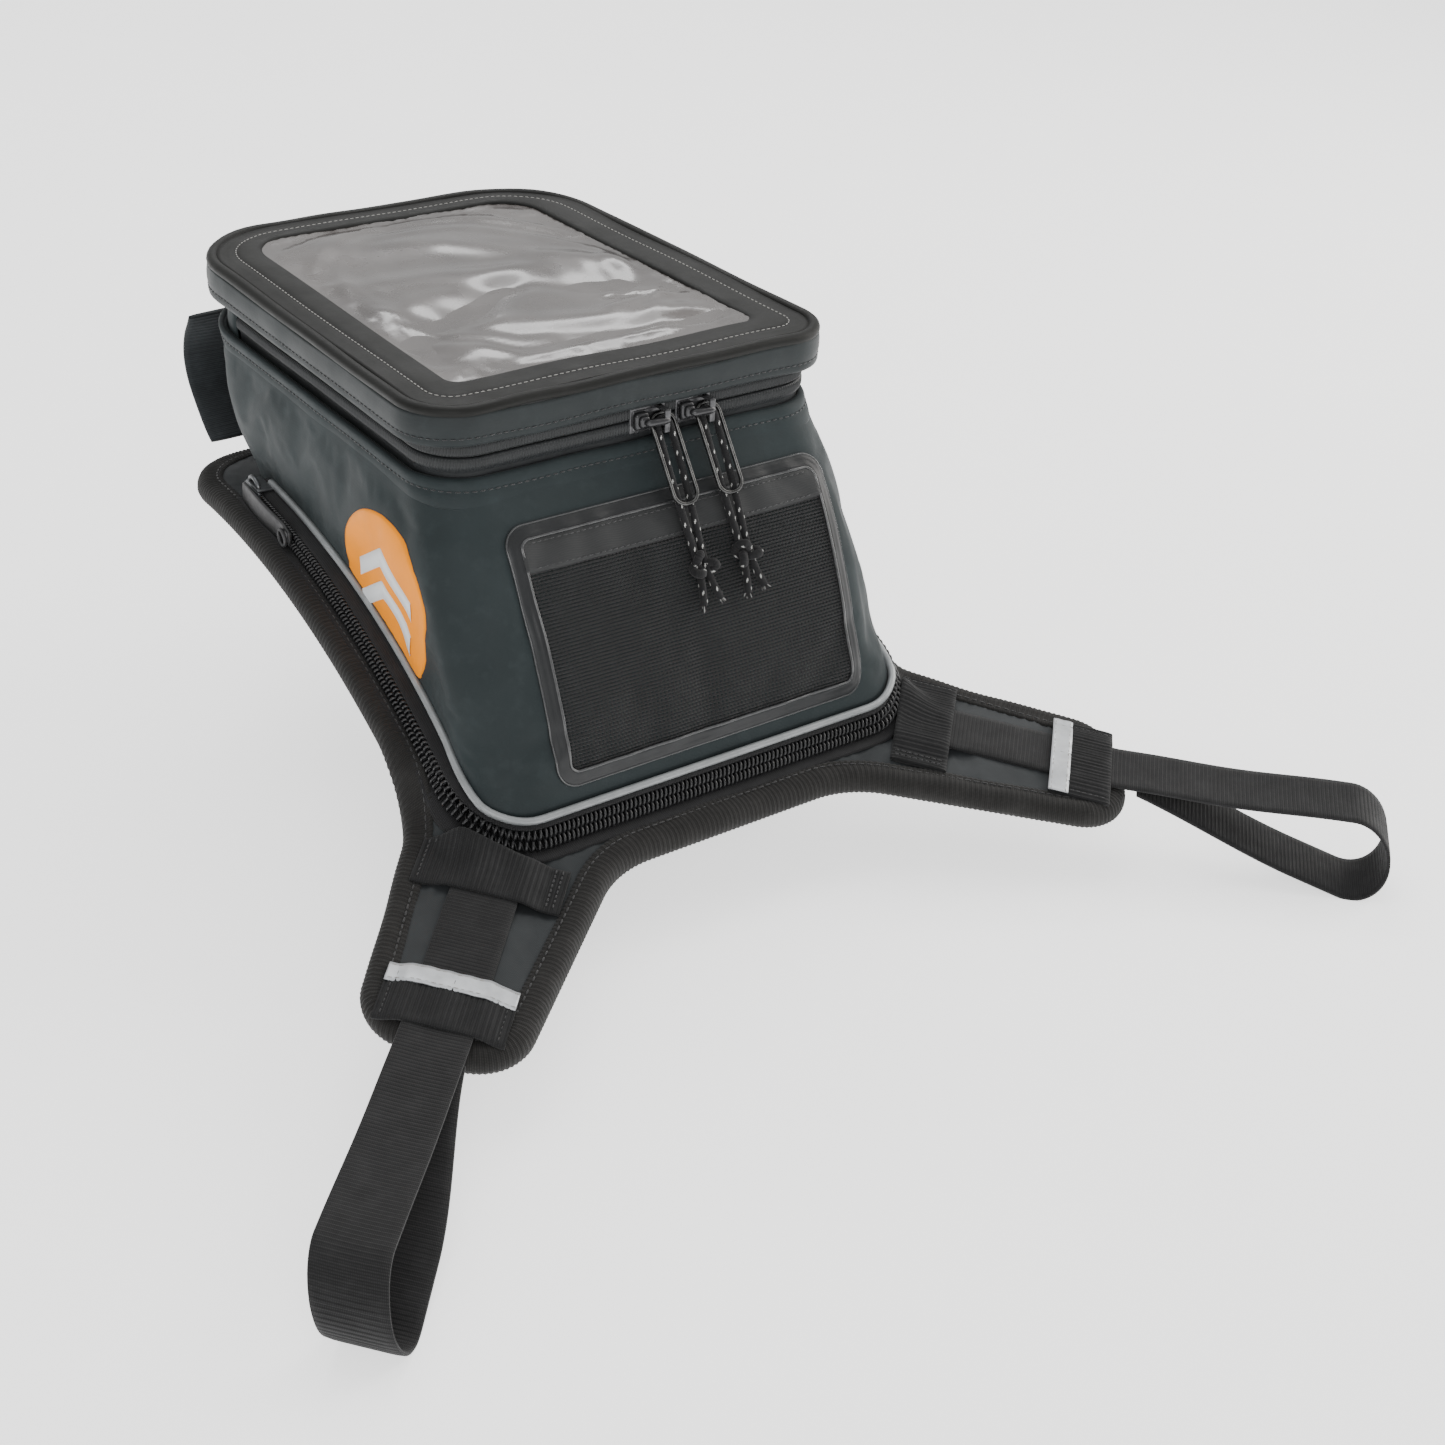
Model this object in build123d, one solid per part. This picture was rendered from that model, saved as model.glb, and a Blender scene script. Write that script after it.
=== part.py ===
"""Motorcycle tank bag on a strap-down harness pad.

Millimetres.  +X is the rider's right, +Y is forward, +Z is up.  The origin is on the underside of
the harness pad, on the centre plane, where the pad lies on the tank.  "Lift" is the height above
that curved underside, measured square to it.
"""
import math
import os

from build123d import *

os.makedirs("parts", exist_ok=True)

# ---- driving dimensions -------------------------------------------------------------------------
# Tank surface under the pad, as a side profile: a crest arc, a hollow arc, then a straight slope.
CREST_Y, CREST_RADIUS = 90.0, 368.0
CREST_Z = -math.sqrt(CREST_RADIUS**2 - CREST_Y**2)
ARM_SLOPE = math.radians(10.8)
ARM_LINE_Z = -29.6
HOLLOW_RADIUS = 60.0
PROFILE_FRONT_Y, PROFILE_REAR_RUN = 175.0, 190.0
SLAB_HALF_WIDTH = 260.0

# Lifts of the layers that lie on the tank.
GRIP_TOP = 1.0
PAD_TOP = 8.0
BINDING_TOP = 8.6
BINDING_WIDTH = 11.0
BINDING_SPLIT_X = 75.0
TAPE_THICK = 1.0
BASE_COIL_LOW = (9.0, 11.0)
BASE_COIL_HIGH = (13.0, 15.0)
BODY_FOOT = 15.2
BOARD_THICK = 2.0
PIPING_LIFTS = (16.3, 18.8)

# Plan of the bag at the base zipper's chain, at the rim, at the fullest height and at the lid:
# rear y, rear half width, front y, front half width.
CHAIN_PLAN = (-112.0, 102.0, 134.0, 85.0)
LOW_PLAN, LOW_Z = (-121.5, 102.5, 97.4, 73.8), -50.0
FULL_PLAN, FULL_Z = (-71.0, 93.0, 146.0, 86.5), 59.0
RIM_PLAN, RIM_Z = (-59.0, 90.0, 154.0, 86.0), 79.0
LID_PLAN = (-60.0, 94.3, 156.0, 89.8)
REAR_CORNER, FRONT_CORNER = 22.0, 42.0
WALL = 3.0
REAR_PANEL_HALF, FRONT_PANEL_HALF = 68.0, 44.0

# Heights of the lid and of its zipper.
LID_TOP = 112.0
LID_WALL_LOW, LID_WALL_HIGH = 98.5, 108.0
LID_PANEL_TOP = 110.0
RIM_TOP = 82.4
ZIP_Z, ZIP_GAP = 91.0, 2.0
ZIP_INSET = 3.0
ZIP_TAPE = 0.8
COIL_DEPTH = 2.2
COIL_HALF = 2.4
HINGE_PANEL_Y = 112.0
WINDOW_INSET, FRAME_INSET = 24.0, 4.0

# Harness arms: a line that starts beside the bag and runs out and back at about 45 degrees.
ARM_START = (96.5, -113.0)
ARM_ANGLE = -45.6
WEB_WIDTH, WEB_THICK = 25.0, 1.6
KEEPER_THICK = 1.4
INNER_KEEPER = (0.0, 23.0, 55.0)
OUTER_KEEPER = (64.5, 90.0, 46.0)
STRIP_WIDTH = 8.5
ARM_TIP = 101.0
LOOP_CENTRE, LOOP_RADIUS = 190.0, 14.3
STRAP_LIFT = 10.6

# Rear pocket, measured up the rear face from the fullest height.
POCKET_X = 4.5
POCKET_SPAN = (-86.5, 2.0)
POCKET_HALF = (68.0, 68.0)
POCKET_FRAME, POCKET_RISE, POCKET_BAND = 5.5, 2.5, 13.0

# Round patch on each side panel, and the wide bands on the front face.
EMBLEM_AT, EMBLEM_RADIUS, EMBLEM_THICK = (-27.0, 26.0), 35.0, 0.7
FRONT_BAND_X, FRONT_BAND_THICK = (50.0, 88.0), 2.0
FRONT_BAND_PATH = [(153.8, 77.0), (160.0, 70.0), (162.0, 58.0), (157.0, 43.0), (145.0, 31.0), (137.0, 26.4)]

# Lid zipper hardware.  The pull hangs from a hook at the right-hand end of each slider.
SLIDER_LENGTH, SLIDER_HEIGHT = 17.0, 11.0
SLIDER_X = {"left": 3.0, "right": 24.0}
PLATE = 1.3
PLAY = 0.3
HOOK_X, HOOK_WIDTH, HOOK_HALF = 5.0, 2.4, 4.8
EYE_HALF, EYE_DEPTH, HOOK_THICK = 3.4, 5.3, 1.3
PIVOT_OUT, PIVOT_UP = 1.1, 1.6
PULL_LEAN = math.radians(31.5)
WIRE_LENGTH, WIRE_HALF, WIRE_RADIUS, WIRE_TILT = 36.0, 5.35, 0.8, 4.2
CORD_RADIUS = 1.45
CORD_LEFT_STRAND = [(-3.8, 75), (-1.8, 66), (-1.6, 54), (-2.3, 42), (-3.0, 24), (-3.1, 10), (-2.9, 2.4)]
CORD_RIGHT_STRAND = [(2.9, 2.4), (3.1, 10), (3.05, 24), (2.4, 42), (1.6, 54), (2.0, 66), (4.6, 74)]
KNOT_AT, KNOT_RADIUS = 60.0, 5.2

# Base zipper slider and its tab, on the left side of the chain.
CHAIN_END_Y = 94.0
BASE_SLIDER_Y, BASE_SLIDER_LENGTH = 84.0, 15.0
TAB_LENGTH, TAB_LIFTS, TAB_OUT = 46.0, (10.0, 18.0), (7.4, 9.6)


# ---- helpers ------------------------------------------------------------------------------------
def save(name, shape):
    """Writes one named node."""
    solids = shape.solids()
    export_step(solids[0] if len(solids) == 1 else Compound(solids), f"parts/{name}.step")


def plan(sizes, grow=0.0, z=0.0):
    """A rounded trapezoid in plan, moved outwards by grow."""
    rear_y, rear_half, front_y, front_half = sizes
    corners = [(-rear_half, rear_y), (rear_half, rear_y), (front_half, front_y), (-front_half, front_y)]
    face = Face(Wire.make_polygon([Vector(*c) for c in corners], close=True))
    mid_y = (rear_y + front_y) / 2
    sketch = Sketch() + face
    sketch = fillet([v for v in sketch.vertices() if v.Y < mid_y], REAR_CORNER)
    sketch = fillet([v for v in sketch.vertices() if v.Y > front_y - 1], FRONT_CORNER)
    if grow:
        sketch = offset(sketch, amount=grow)
    return Pos(0, 0, z) * sketch


def ring(sizes, outer, inner, low, high):
    """An upright band that follows a plan, between two offsets and two heights."""
    band = plan(sizes, outer) - plan(sizes, inner)
    return Pos(0, 0, low) * extrude(band, high - low)


def hollow_arc():
    """Centre of the hollow arc between the crest arc and the arms' straight slope."""
    normal = (-math.sin(ARM_SLOPE), math.cos(ARM_SLOPE))
    back = (-math.cos(ARM_SLOPE), -math.sin(ARM_SLOPE))
    start = (normal[0] * HOLLOW_RADIUS, ARM_LINE_Z + normal[1] * HOLLOW_RADIUS)
    dy, dz = start[0] - CREST_Y, start[1] - CREST_Z
    half_b = dy * back[0] + dz * back[1]
    reach = CREST_RADIUS + HOLLOW_RADIUS
    run = -half_b + math.sqrt(half_b**2 - (dy * dy + dz * dz - reach**2))
    return start[0] + back[0] * run, start[1] + back[1] * run


def surface_line(lift):
    """The side profile at a lift: front end, crest arc, hollow arc and slope, as points to join."""
    hy, hz = hollow_arc()
    join = math.atan2(hz - CREST_Z, hy - CREST_Y)
    radius = CREST_RADIUS + lift
    hollow = HOLLOW_RADIUS - lift
    first = math.acos((PROFILE_FRONT_Y - CREST_Y) / radius)
    foot = -math.pi / 2 + ARM_SLOPE

    def crest(angle):
        return CREST_Y + radius * math.cos(angle), CREST_Z + radius * math.sin(angle)

    def dip(angle):
        return hy + hollow * math.cos(angle), hz + hollow * math.sin(angle)

    turned = join - math.pi
    low = dip(foot)
    end = (low[0] - PROFILE_REAR_RUN * math.cos(ARM_SLOPE), low[1] - PROFILE_REAR_RUN * math.sin(ARM_SLOPE))
    return [crest(first), crest((first + join) / 2), crest(join), dip((turned + foot) / 2), low, end]


def slab(low, high):
    """Everything between two lifts, across the whole width."""

    def line(points):
        at = [Vector(0, y, z) for y, z in points]
        return [ThreePointArc(at[0], at[1], at[2]), ThreePointArc(at[2], at[3], at[4]), Line(at[4], at[5])]

    under, over = surface_line(low), surface_line(high)
    edges = line(under) + line(over)
    edges += [Line((0, *under[0]), (0, *over[0])), Line((0, *under[-1]), (0, *over[-1]))]
    face = Face(Wire.combine([e.edge() for e in edges])[0])
    return Pos(-SLAB_HALF_WIDTH, 0, 0) * extrude(face, amount=2 * SLAB_HALF_WIDTH, dir=(1, 0, 0))


def draped(sketch, low, high):
    """A flat plan laid on the tank surface between two lifts."""
    column = Pos(0, 0, -120) * extrude(sketch, 320, dir=(0, 0, 1))
    return column & slab(low, high)


def lofted(grow=0.0):
    """The bag's body as a closed solid, from below the pad to the rim."""
    low = plan(LOW_PLAN, grow, LOW_Z)
    full = plan(FULL_PLAN, grow, FULL_Z)
    rim = plan(RIM_PLAN, grow, RIM_Z)
    return loft([low.face(), full.face()], ruled=True) + loft([full.face(), rim.face()], ruled=True)


def box_between(low, high):
    size = [b - a for a, b in zip(low, high)]
    return Pos(*low) * Box(*size, align=(Align.MIN, Align.MIN, Align.MIN))


def arm_frame():
    """Local frame of the right arm on its slope: X runs out along the arm, Z is the lift."""
    turn = math.radians(ARM_ANGLE)
    out = Vector(math.cos(turn), math.sin(turn), 0)
    rise = Vector(0, 1, math.tan(ARM_SLOPE))
    across = Vector(1, 0, 0)
    normal = across.cross(rise).normalized()
    along = (out + Vector(0, 0, out.Y * math.tan(ARM_SLOPE))).normalized()
    x, y = ARM_START
    origin = Vector(x, y, ARM_LINE_Z + y * math.tan(ARM_SLOPE))
    return Plane(origin=origin, x_dir=along, z_dir=normal)


def both_sides(name, shape):
    """Writes a piece made for the right side and its mirror image."""
    save(f"{name}_right", shape)
    save(f"{name}_left", mirror(shape, Plane.YZ))


# ---- harness pad --------------------------------------------------------------------------------
def pad_plan(grow=0.0):
    right = [(103, 146), (116.5, -82), (180, -156), (147, -205), (56, -132)]
    radii = [38, 40, 20, 22, 45]
    points = right + [(-x, y) for x, y in reversed(right)]
    sketch = Sketch() + Face(Wire.make_polygon([Vector(*p) for p in points], close=True))
    for (x, y), radius in zip(right, radii):
        near = [v for v in sketch.vertices() if abs(abs(v.X) - x) < 0.1 and abs(v.Y - y) < 0.1]
        sketch = fillet(near, radius)
    return offset(sketch, amount=grow) if grow else sketch


def make_pad():
    inner = pad_plan(-BINDING_WIDTH)
    save("pad_grip_layer", draped(inner, 0, GRIP_TOP))
    save("pad_core", draped(inner, GRIP_TOP, PAD_TOP))
    binding = draped(pad_plan() - inner, 0, BINDING_TOP)
    rear = box_between((-BINDING_SPLIT_X, -230, -150), (BINDING_SPLIT_X, -100, 50))
    save("pad_binding", binding - rear)
    save("pad_binding_rear", binding & rear)


def arm_plan(run, width):
    """A rectangle in plan on the right arm, from one run to another, centred across the arm."""
    corner = Pos(*ARM_START) * Rot(0, 0, ARM_ANGLE) * Pos((run[0] + run[1]) / 2, 0)
    return corner * Rectangle(run[1] - run[0], width)


def make_arms():
    web_low = BINDING_TOP + 0.1
    web_high = web_low + WEB_THICK
    keeper_high = web_high + KEEPER_THICK
    both_sides("anchor_web", draped(arm_plan((1.0, ARM_TIP - 2.0), WEB_WIDTH), web_low, web_high))
    for name, (start, end, width) in {"inner": INNER_KEEPER, "outer": OUTER_KEEPER}.items():
        band = draped(arm_plan((start, end), width), web_low, keeper_high)
        tunnel = draped(arm_plan((start - 1, end + 1), WEB_WIDTH), web_low - 1, web_high)
        both_sides(f"{name}_keeper", band - tunnel)
    start, end, width = OUTER_KEEPER
    strip = arm_plan((start, start + STRIP_WIDTH), width)
    both_sides("reflective_strip", draped(strip, keeper_high, keeper_high + 0.6))


def make_straps():
    """Webbing that runs on from the arm's tip, round a frame tube and back to the tip."""
    top, thick = STRAP_LIFT + WEB_THICK, WEB_THICK
    centre = (LOOP_CENTRE, STRAP_LIFT - 4.0)
    outer = LOOP_RADIUS + thick

    def teardrop(radius, start_top, start_low):
        """Tangent lines from two points at the tip to a circle at the loop's centre."""
        points = []
        for height, sign in ((start_top, 1), (start_low, -1)):
            dx, dz = centre[0] - ARM_TIP, centre[1] - height
            reach, heading = math.hypot(dx, dz), math.atan2(dz, dx)
            tilt = heading + sign * math.asin(radius / reach)
            touch = (centre[0] - sign * radius * math.sin(tilt), centre[1] + sign * radius * math.cos(tilt))
            points.append(((ARM_TIP, height), touch))
        (a, b), (d, c) = points
        far = (centre[0] + radius, centre[1])
        edges = [Line(a, b), ThreePointArc(b, far, c), Line(c, d), Line(d, a)]
        return Face(Wire.combine([e.edge() for e in edges])[0])

    low = STRAP_LIFT - 0.2 - thick
    face = teardrop(outer, top, low) - teardrop(LOOP_RADIUS, top - thick, low + thick)
    web = Pos(0, WEB_WIDTH / 2, 0) * extrude(Plane.XZ * Sketch(face.faces()), WEB_WIDTH, dir=(0, -1, 0))
    both_sides("side_strap", arm_frame() * web)


# ---- bag body -----------------------------------------------------------------------------------
def make_body():
    outer, inner = lofted(), lofted(-WALL)
    lower = slab(-90, BODY_FOOT)
    shell = max((outer - inner - lower).solids(), key=lambda s: s.volume)
    rear = box_between((-REAR_PANEL_HALF, -150, -100), (REAR_PANEL_HALF, 50, 100))
    front = box_between((-FRONT_PANEL_HALF, 50, -100), (FRONT_PANEL_HALF, 200, 100))
    save("body_rear_panel", shell & rear)
    save("body_front_panel", shell & front)
    sides = (shell - rear - front).solids()
    save("body_side_panel_left", min(sides, key=lambda s: s.center().X))
    save("body_side_panel_right", max(sides, key=lambda s: s.center().X))
    save("base_board", inner & slab(BODY_FOOT, BODY_FOOT + BOARD_THICK))
    save("rim_binding", ring(RIM_PLAN, 0.8, -WALL - 1.2, RIM_Z, RIM_TOP))
    piping = (lofted(2.2) - outer) & slab(*PIPING_LIFTS)
    save("reflective_piping", piping & box_between((-150, -190, -70), (150, 85, 90)))
    return outer


def make_base_zipper(outer):
    """Two coil halves and their tapes; the lower ones are sewn to the pad, the upper ones to the bag."""
    open_front = box_between((-150, -190, -100), (150, CHAIN_END_Y, 120))
    lower_tape = plan(CHAIN_PLAN, 4.5) - plan(CHAIN_PLAN, -1)
    coil = plan(CHAIN_PLAN, 5) - plan(CHAIN_PLAN, -0.5)
    upper_tape = plan(CHAIN_PLAN, 5) - plan(CHAIN_PLAN, -14)
    save("base_zip_lower_tape", draped(lower_tape, PAD_TOP, PAD_TOP + TAPE_THICK) & open_front)
    save("base_zip_lower_coil", draped(coil, *BASE_COIL_LOW) & open_front)
    save("base_zip_upper_coil", draped(coil, *BASE_COIL_HIGH) & open_front)
    lifts = (BASE_COIL_HIGH[1], BASE_COIL_HIGH[1] + TAPE_THICK)
    save("base_zip_upper_tape", draped(upper_tape, *lifts) - outer)


# ---- rear pocket, emblems, front bands ----------------------------------------------------------
def rear_panel():
    """Frame on the sloping rear face: X to the right, Y up the face, Z out of it."""
    low = Vector(0, LOW_PLAN[0], LOW_Z)
    high = Vector(0, FULL_PLAN[0], FULL_Z)
    up = (high - low).normalized()
    return Plane(origin=high, x_dir=(1, 0, 0), z_dir=Vector(1, 0, 0).cross(up))


def panel_sheet(low, high, half_low, half_high, radius, lift, thick):
    """A tapered sheet with rounded corners on the rear face, between two places down the face."""
    corners = [(-half_low, low), (half_low, low), (half_high, high), (-half_high, high)]
    face = Sketch() + Face(Wire.make_polygon([Vector(*c) for c in corners], close=True))
    face = fillet(face.vertices(), radius)
    return rear_panel() * Pos(POCKET_X, 0, lift) * extrude(face, thick, dir=(0, 0, 1))


def make_pocket(outer):
    low, high = POCKET_SPAN
    half_low, half_high = POCKET_HALF
    edge = POCKET_FRAME
    whole = panel_sheet(low - edge, high + edge, half_low + edge, half_high + edge, 9, -2, 2 + POCKET_RISE)
    hole = panel_sheet(low, high, half_low, half_high, 4, -4, 12)
    save("pocket_frame", whole - hole - outer)
    top = panel_sheet(high - POCKET_BAND, high + 9, 90, 90, 1, -6, 14)
    lift = POCKET_RISE - 2.0
    save("pocket_mesh", panel_sheet(low, high, half_low, half_high, 4, lift, 0.8) - top)
    save("pocket_top_band", panel_sheet(low, high, half_low, half_high, 4, lift, 1.4) & top)


def make_emblems(outer):
    """A thin round patch on each side panel, cut off below by the base piping."""
    skin = lofted(EMBLEM_THICK) - outer
    y, z = EMBLEM_AT
    drum = Pos(60, y, z) * Rot(0, 90, 0) * Cylinder(EMBLEM_RADIUS, 80, align=(Align.CENTER, Align.CENTER, Align.MIN))
    both_sides("side_emblem", (skin & drum) & slab(PIPING_LIFTS[1] + 0.3, 200))


def make_front_bands():
    """A wide webbing band on each side of the front face, sewn at the rim and at the base."""
    path = Spline(*[(0, y, z) for y, z in FRONT_BAND_PATH])
    points = [path @ t for t in (0, 0.25, 0.5, 0.75, 1)]
    front = Spline(*[p + Vector(0, FRONT_BAND_THICK, 0) for p in points])
    back = Spline(*points)
    ends = [Line(back @ 0, front @ 0), Line(back @ 1, front @ 1)]
    face = Face(Wire.combine([e.edge() for e in [back, front] + ends])[0])
    inner, outer = FRONT_BAND_X
    both_sides("front_band", Pos(inner, 0, 0) * extrude(face, outer - inner, dir=(1, 0, 0)))


# ---- lid ----------------------------------------------------------------------------------------
def make_lid():
    wall = ring(LID_PLAN, 0, -3.5, LID_WALL_LOW, LID_WALL_HIGH)
    flange = ring(LID_PLAN, -3.5, -9.0, LID_WALL_LOW, LID_WALL_LOW + 1.4)
    save("lid_wall", wall + flange)
    save("lid_panel", Pos(0, 0, LID_WALL_HIGH) * extrude(plan(LID_PLAN), LID_PANEL_TOP - LID_WALL_HIGH))
    save("lid_edge_bead", ring(LID_PLAN, 0.6, -FRAME_INSET, LID_PANEL_TOP, LID_TOP))
    save("lid_frame", ring(LID_PLAN, -FRAME_INSET, -WINDOW_INSET, LID_PANEL_TOP, LID_TOP - 0.4))
    film = extrude(plan(LID_PLAN, -WINDOW_INSET), 0.6)
    save("map_window", Pos(0, 0, LID_PANEL_TOP + 0.6) * film)


def lid_zipper_half(low, high, coil_low, coil_high, side):
    """One side of the lid zipper: a tape on three sides, the hinge panel in front, and a coil."""
    tape = ring(RIM_PLAN, -ZIP_INSET, -ZIP_INSET - ZIP_TAPE, low, high)
    back = box_between((-150, -150, 0), (150, HINGE_PANEL_Y, 200))
    save(f"{side}_lid_tape", tape & back)
    save(f"{side}_hinge_panel", tape - back)
    inner = -ZIP_INSET - ZIP_TAPE
    coil = ring(RIM_PLAN, inner, inner - COIL_DEPTH, coil_low, coil_high)
    save(f"{side}_lid_coil", coil & back)


def make_lid_zipper():
    half = ZIP_GAP / 2
    lid_zipper_half(RIM_TOP, ZIP_Z - half, ZIP_Z - half - COIL_HALF, ZIP_Z - half, "lower")
    lid_zipper_half(ZIP_Z + half, LID_WALL_LOW, ZIP_Z + half, ZIP_Z + half + COIL_HALF, "upper")


# ---- sliders and pulls --------------------------------------------------------------------------
def slider_face():
    """Y of the outer face of the lid sliders' front plates."""
    return RIM_PLAN[0] + ZIP_INSET - PLAY - PLATE


def make_lid_slider(side):
    """Front and back plates joined by a neck between the coils, with a hook for the pull."""
    x, front = SLIDER_X[side], slider_face()
    back = RIM_PLAN[0] + ZIP_INSET + ZIP_TAPE + COIL_DEPTH + PLAY
    shape = fillet(Rectangle(SLIDER_LENGTH, SLIDER_HEIGHT).vertices(), 3.0)
    plates = [Pos(x, y + PLATE, ZIP_Z) * Rot(90, 0, 0) * extrude(shape, PLATE) for y in (front, back)]
    neck = box_between((x - 3, front + PLATE / 2, ZIP_Z - 0.7), (x + 3, back + PLATE / 2, ZIP_Z + 0.7))
    middle = Pos(x + HOOK_X, front, ZIP_Z)
    half, depth = HOOK_WIDTH / 2, EYE_DEPTH + HOOK_THICK
    hook = middle * box_between((-half, -depth, -HOOK_HALF), (half, 0.2, HOOK_HALF))
    eye = middle * box_between((-half - 1, -EYE_DEPTH, -EYE_HALF), (half + 1, 0, EYE_HALF))
    save(f"lid_slider_{side}", plates[0] + plates[1] + neck + (hook - eye))


def pull_frame(side):
    """Frame at the pull's pivot: X to the right, Y down along the pull, Z towards the bag."""
    down = Vector(0, -math.sin(PULL_LEAN), -math.cos(PULL_LEAN))
    origin = (SLIDER_X[side] + HOOK_X, slider_face() - PIVOT_OUT, ZIP_Z + PIVOT_UP)
    return Plane(origin=origin, x_dir=(1, 0, 0), z_dir=Vector(1, 0, 0).cross(down))


def cord_path():
    """Both strands of the pull cord and the fold between them, with the largest arcs they allow."""
    points = [Vector(x, y, 0) for x, y in CORD_LEFT_STRAND + CORD_RIGHT_STRAND]
    radii = []
    for before, at, after in zip(points, points[1:], points[2:]):
        one, two = at - before, after - at
        turn = math.radians(one.get_angle(two))
        radii.append(0.45 * min(one.length, two.length) / math.tan(turn / 2))
    print("pull cord radii", [round(r, 1) for r in radii])
    return FilletPolyline(*points, radius=radii)


def make_pulls():
    half, length = WIRE_HALF, WIRE_LENGTH
    corners = [Vector(-half, 0), Vector(half, 0), Vector(half, length), Vector(-half, length)]
    frame_path = Wire.make_polygon(corners, close=True)
    frame_path = frame_path.fillet_2d(4.6, frame_path.vertices())
    start = frame_path.edges()[0]
    section = Plane(origin=start @ 0, z_dir=start % 0) * Circle(WIRE_RADIUS)
    wire = Rot(-WIRE_TILT, 0, 0) * sweep(section, path=frame_path)
    path = cord_path()
    tube = sweep(Plane(origin=path @ 0, z_dir=path % 0) * Circle(CORD_RADIUS), path=path)
    area = math.pi * CORD_RADIUS**2
    print("pull cord length", round(path.length, 1), "volume ratio", round(tube.volume / area / path.length, 4))
    ball = Pos(0, KNOT_AT, 0) * Sphere(KNOT_RADIUS)
    knot = max((ball - tube).solids(), key=lambda s: s.volume)
    for side in SLIDER_X:
        frame = pull_frame(side)
        save(f"wire_loop_{side}", frame * wire)
        save(f"pull_cord_{side}", frame * tube)
        save(f"cord_knot_{side}", frame * knot)


def chain_side():
    """Frame in plan on the left side of the base chain at the crest: Y runs forward along it."""
    rear_y, rear_half, front_y, front_half = CHAIN_PLAN
    share = (CREST_Y - rear_y) / (front_y - rear_y)
    x = -(rear_half + (front_half - rear_half) * share)
    turn = math.degrees(math.atan2(rear_half - front_half, front_y - rear_y))
    return Pos(x, CREST_Y) * Rot(0, 0, -turn)


def chain_block(run, out, lifts):
    """A block beside the left chain: along it, outwards from it, and between two lifts."""
    middle = Pos(-(out[0] + out[1]) / 2, (run[0] + run[1]) / 2)
    return draped(chain_side() * middle * Rectangle(out[1] - out[0], run[1] - run[0]), *lifts)


def make_base_slider():
    start = BASE_SLIDER_Y - CREST_Y - BASE_SLIDER_LENGTH / 2
    end = start + BASE_SLIDER_LENGTH
    low, high = BASE_COIL_LOW[0] + PLAY, BASE_COIL_HIGH[1] - PLAY
    outer = chain_block((start, end), (5 + PLAY, 5 + PLAY + PLATE), (low, high + 2))
    inner = chain_block((start, end), (-0.5 - PLAY - PLATE, -0.5 - PLAY), (low, high))
    neck_lifts = (BASE_COIL_LOW[1] + PLAY, BASE_COIL_HIGH[0] - PLAY)
    neck = chain_block((start + 5, end - 5), (-1.2, 5.6), neck_lifts)
    save("base_slider", outer + inner + neck)
    tab_end = end - 5
    save("base_pull_tab", chain_block((tab_end - TAB_LENGTH, tab_end), TAB_OUT, TAB_LIFTS))


def main():
    make_pad()
    make_arms()
    make_straps()
    outer = make_body()
    make_base_zipper(outer)
    make_pocket(outer)
    make_emblems(outer)
    make_front_bands()
    make_lid()
    make_lid_zipper()
    for side in SLIDER_X:
        make_lid_slider(side)
    make_pulls()
    make_base_slider()


main()
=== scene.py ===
"""Looks of a motorcycle tank bag on its harness pad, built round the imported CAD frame.

Sizes below are in millimetres, in the row frame: +X the rider's right, +Y forward, +Z up, with the
origin under the pad.  "Lift" is the height above the tank surface, "grow" the distance outside a plan.
"""
import math
import random

import bmesh
import bpy
import numpy as np
from mathutils import Matrix, Vector
from mathutils.bvhtree import BVHTree


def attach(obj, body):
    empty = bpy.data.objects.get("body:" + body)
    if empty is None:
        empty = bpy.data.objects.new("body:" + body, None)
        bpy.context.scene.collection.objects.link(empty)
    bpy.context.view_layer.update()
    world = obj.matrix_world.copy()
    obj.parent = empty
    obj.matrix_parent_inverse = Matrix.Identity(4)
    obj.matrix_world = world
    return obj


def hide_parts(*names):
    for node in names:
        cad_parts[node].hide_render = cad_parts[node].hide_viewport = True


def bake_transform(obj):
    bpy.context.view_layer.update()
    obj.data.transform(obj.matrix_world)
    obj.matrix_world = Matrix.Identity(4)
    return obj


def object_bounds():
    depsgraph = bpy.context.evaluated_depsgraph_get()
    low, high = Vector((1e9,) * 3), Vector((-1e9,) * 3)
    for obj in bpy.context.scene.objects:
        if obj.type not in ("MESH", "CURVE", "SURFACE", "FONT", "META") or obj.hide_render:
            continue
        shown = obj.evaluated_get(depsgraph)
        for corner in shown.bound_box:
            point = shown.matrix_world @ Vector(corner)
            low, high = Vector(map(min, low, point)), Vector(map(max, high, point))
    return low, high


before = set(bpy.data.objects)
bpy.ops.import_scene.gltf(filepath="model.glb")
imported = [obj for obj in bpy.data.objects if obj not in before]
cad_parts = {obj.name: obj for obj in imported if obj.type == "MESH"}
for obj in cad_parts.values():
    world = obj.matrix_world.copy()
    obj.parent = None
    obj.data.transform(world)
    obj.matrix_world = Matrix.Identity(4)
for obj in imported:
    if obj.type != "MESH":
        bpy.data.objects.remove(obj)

MM = 0.001
CAD_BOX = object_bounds()

# ---- camera: where the viewer stands, which way it looks, and its lens ---------------------------
CAMERA_AT = (-447.2, -687.8, 419.6)
CAMERA_HEADING, CAMERA_DIP, CAMERA_ROLL = 38.17, 30.76, 3.55
CAMERA_LENS = 54.81

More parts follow.
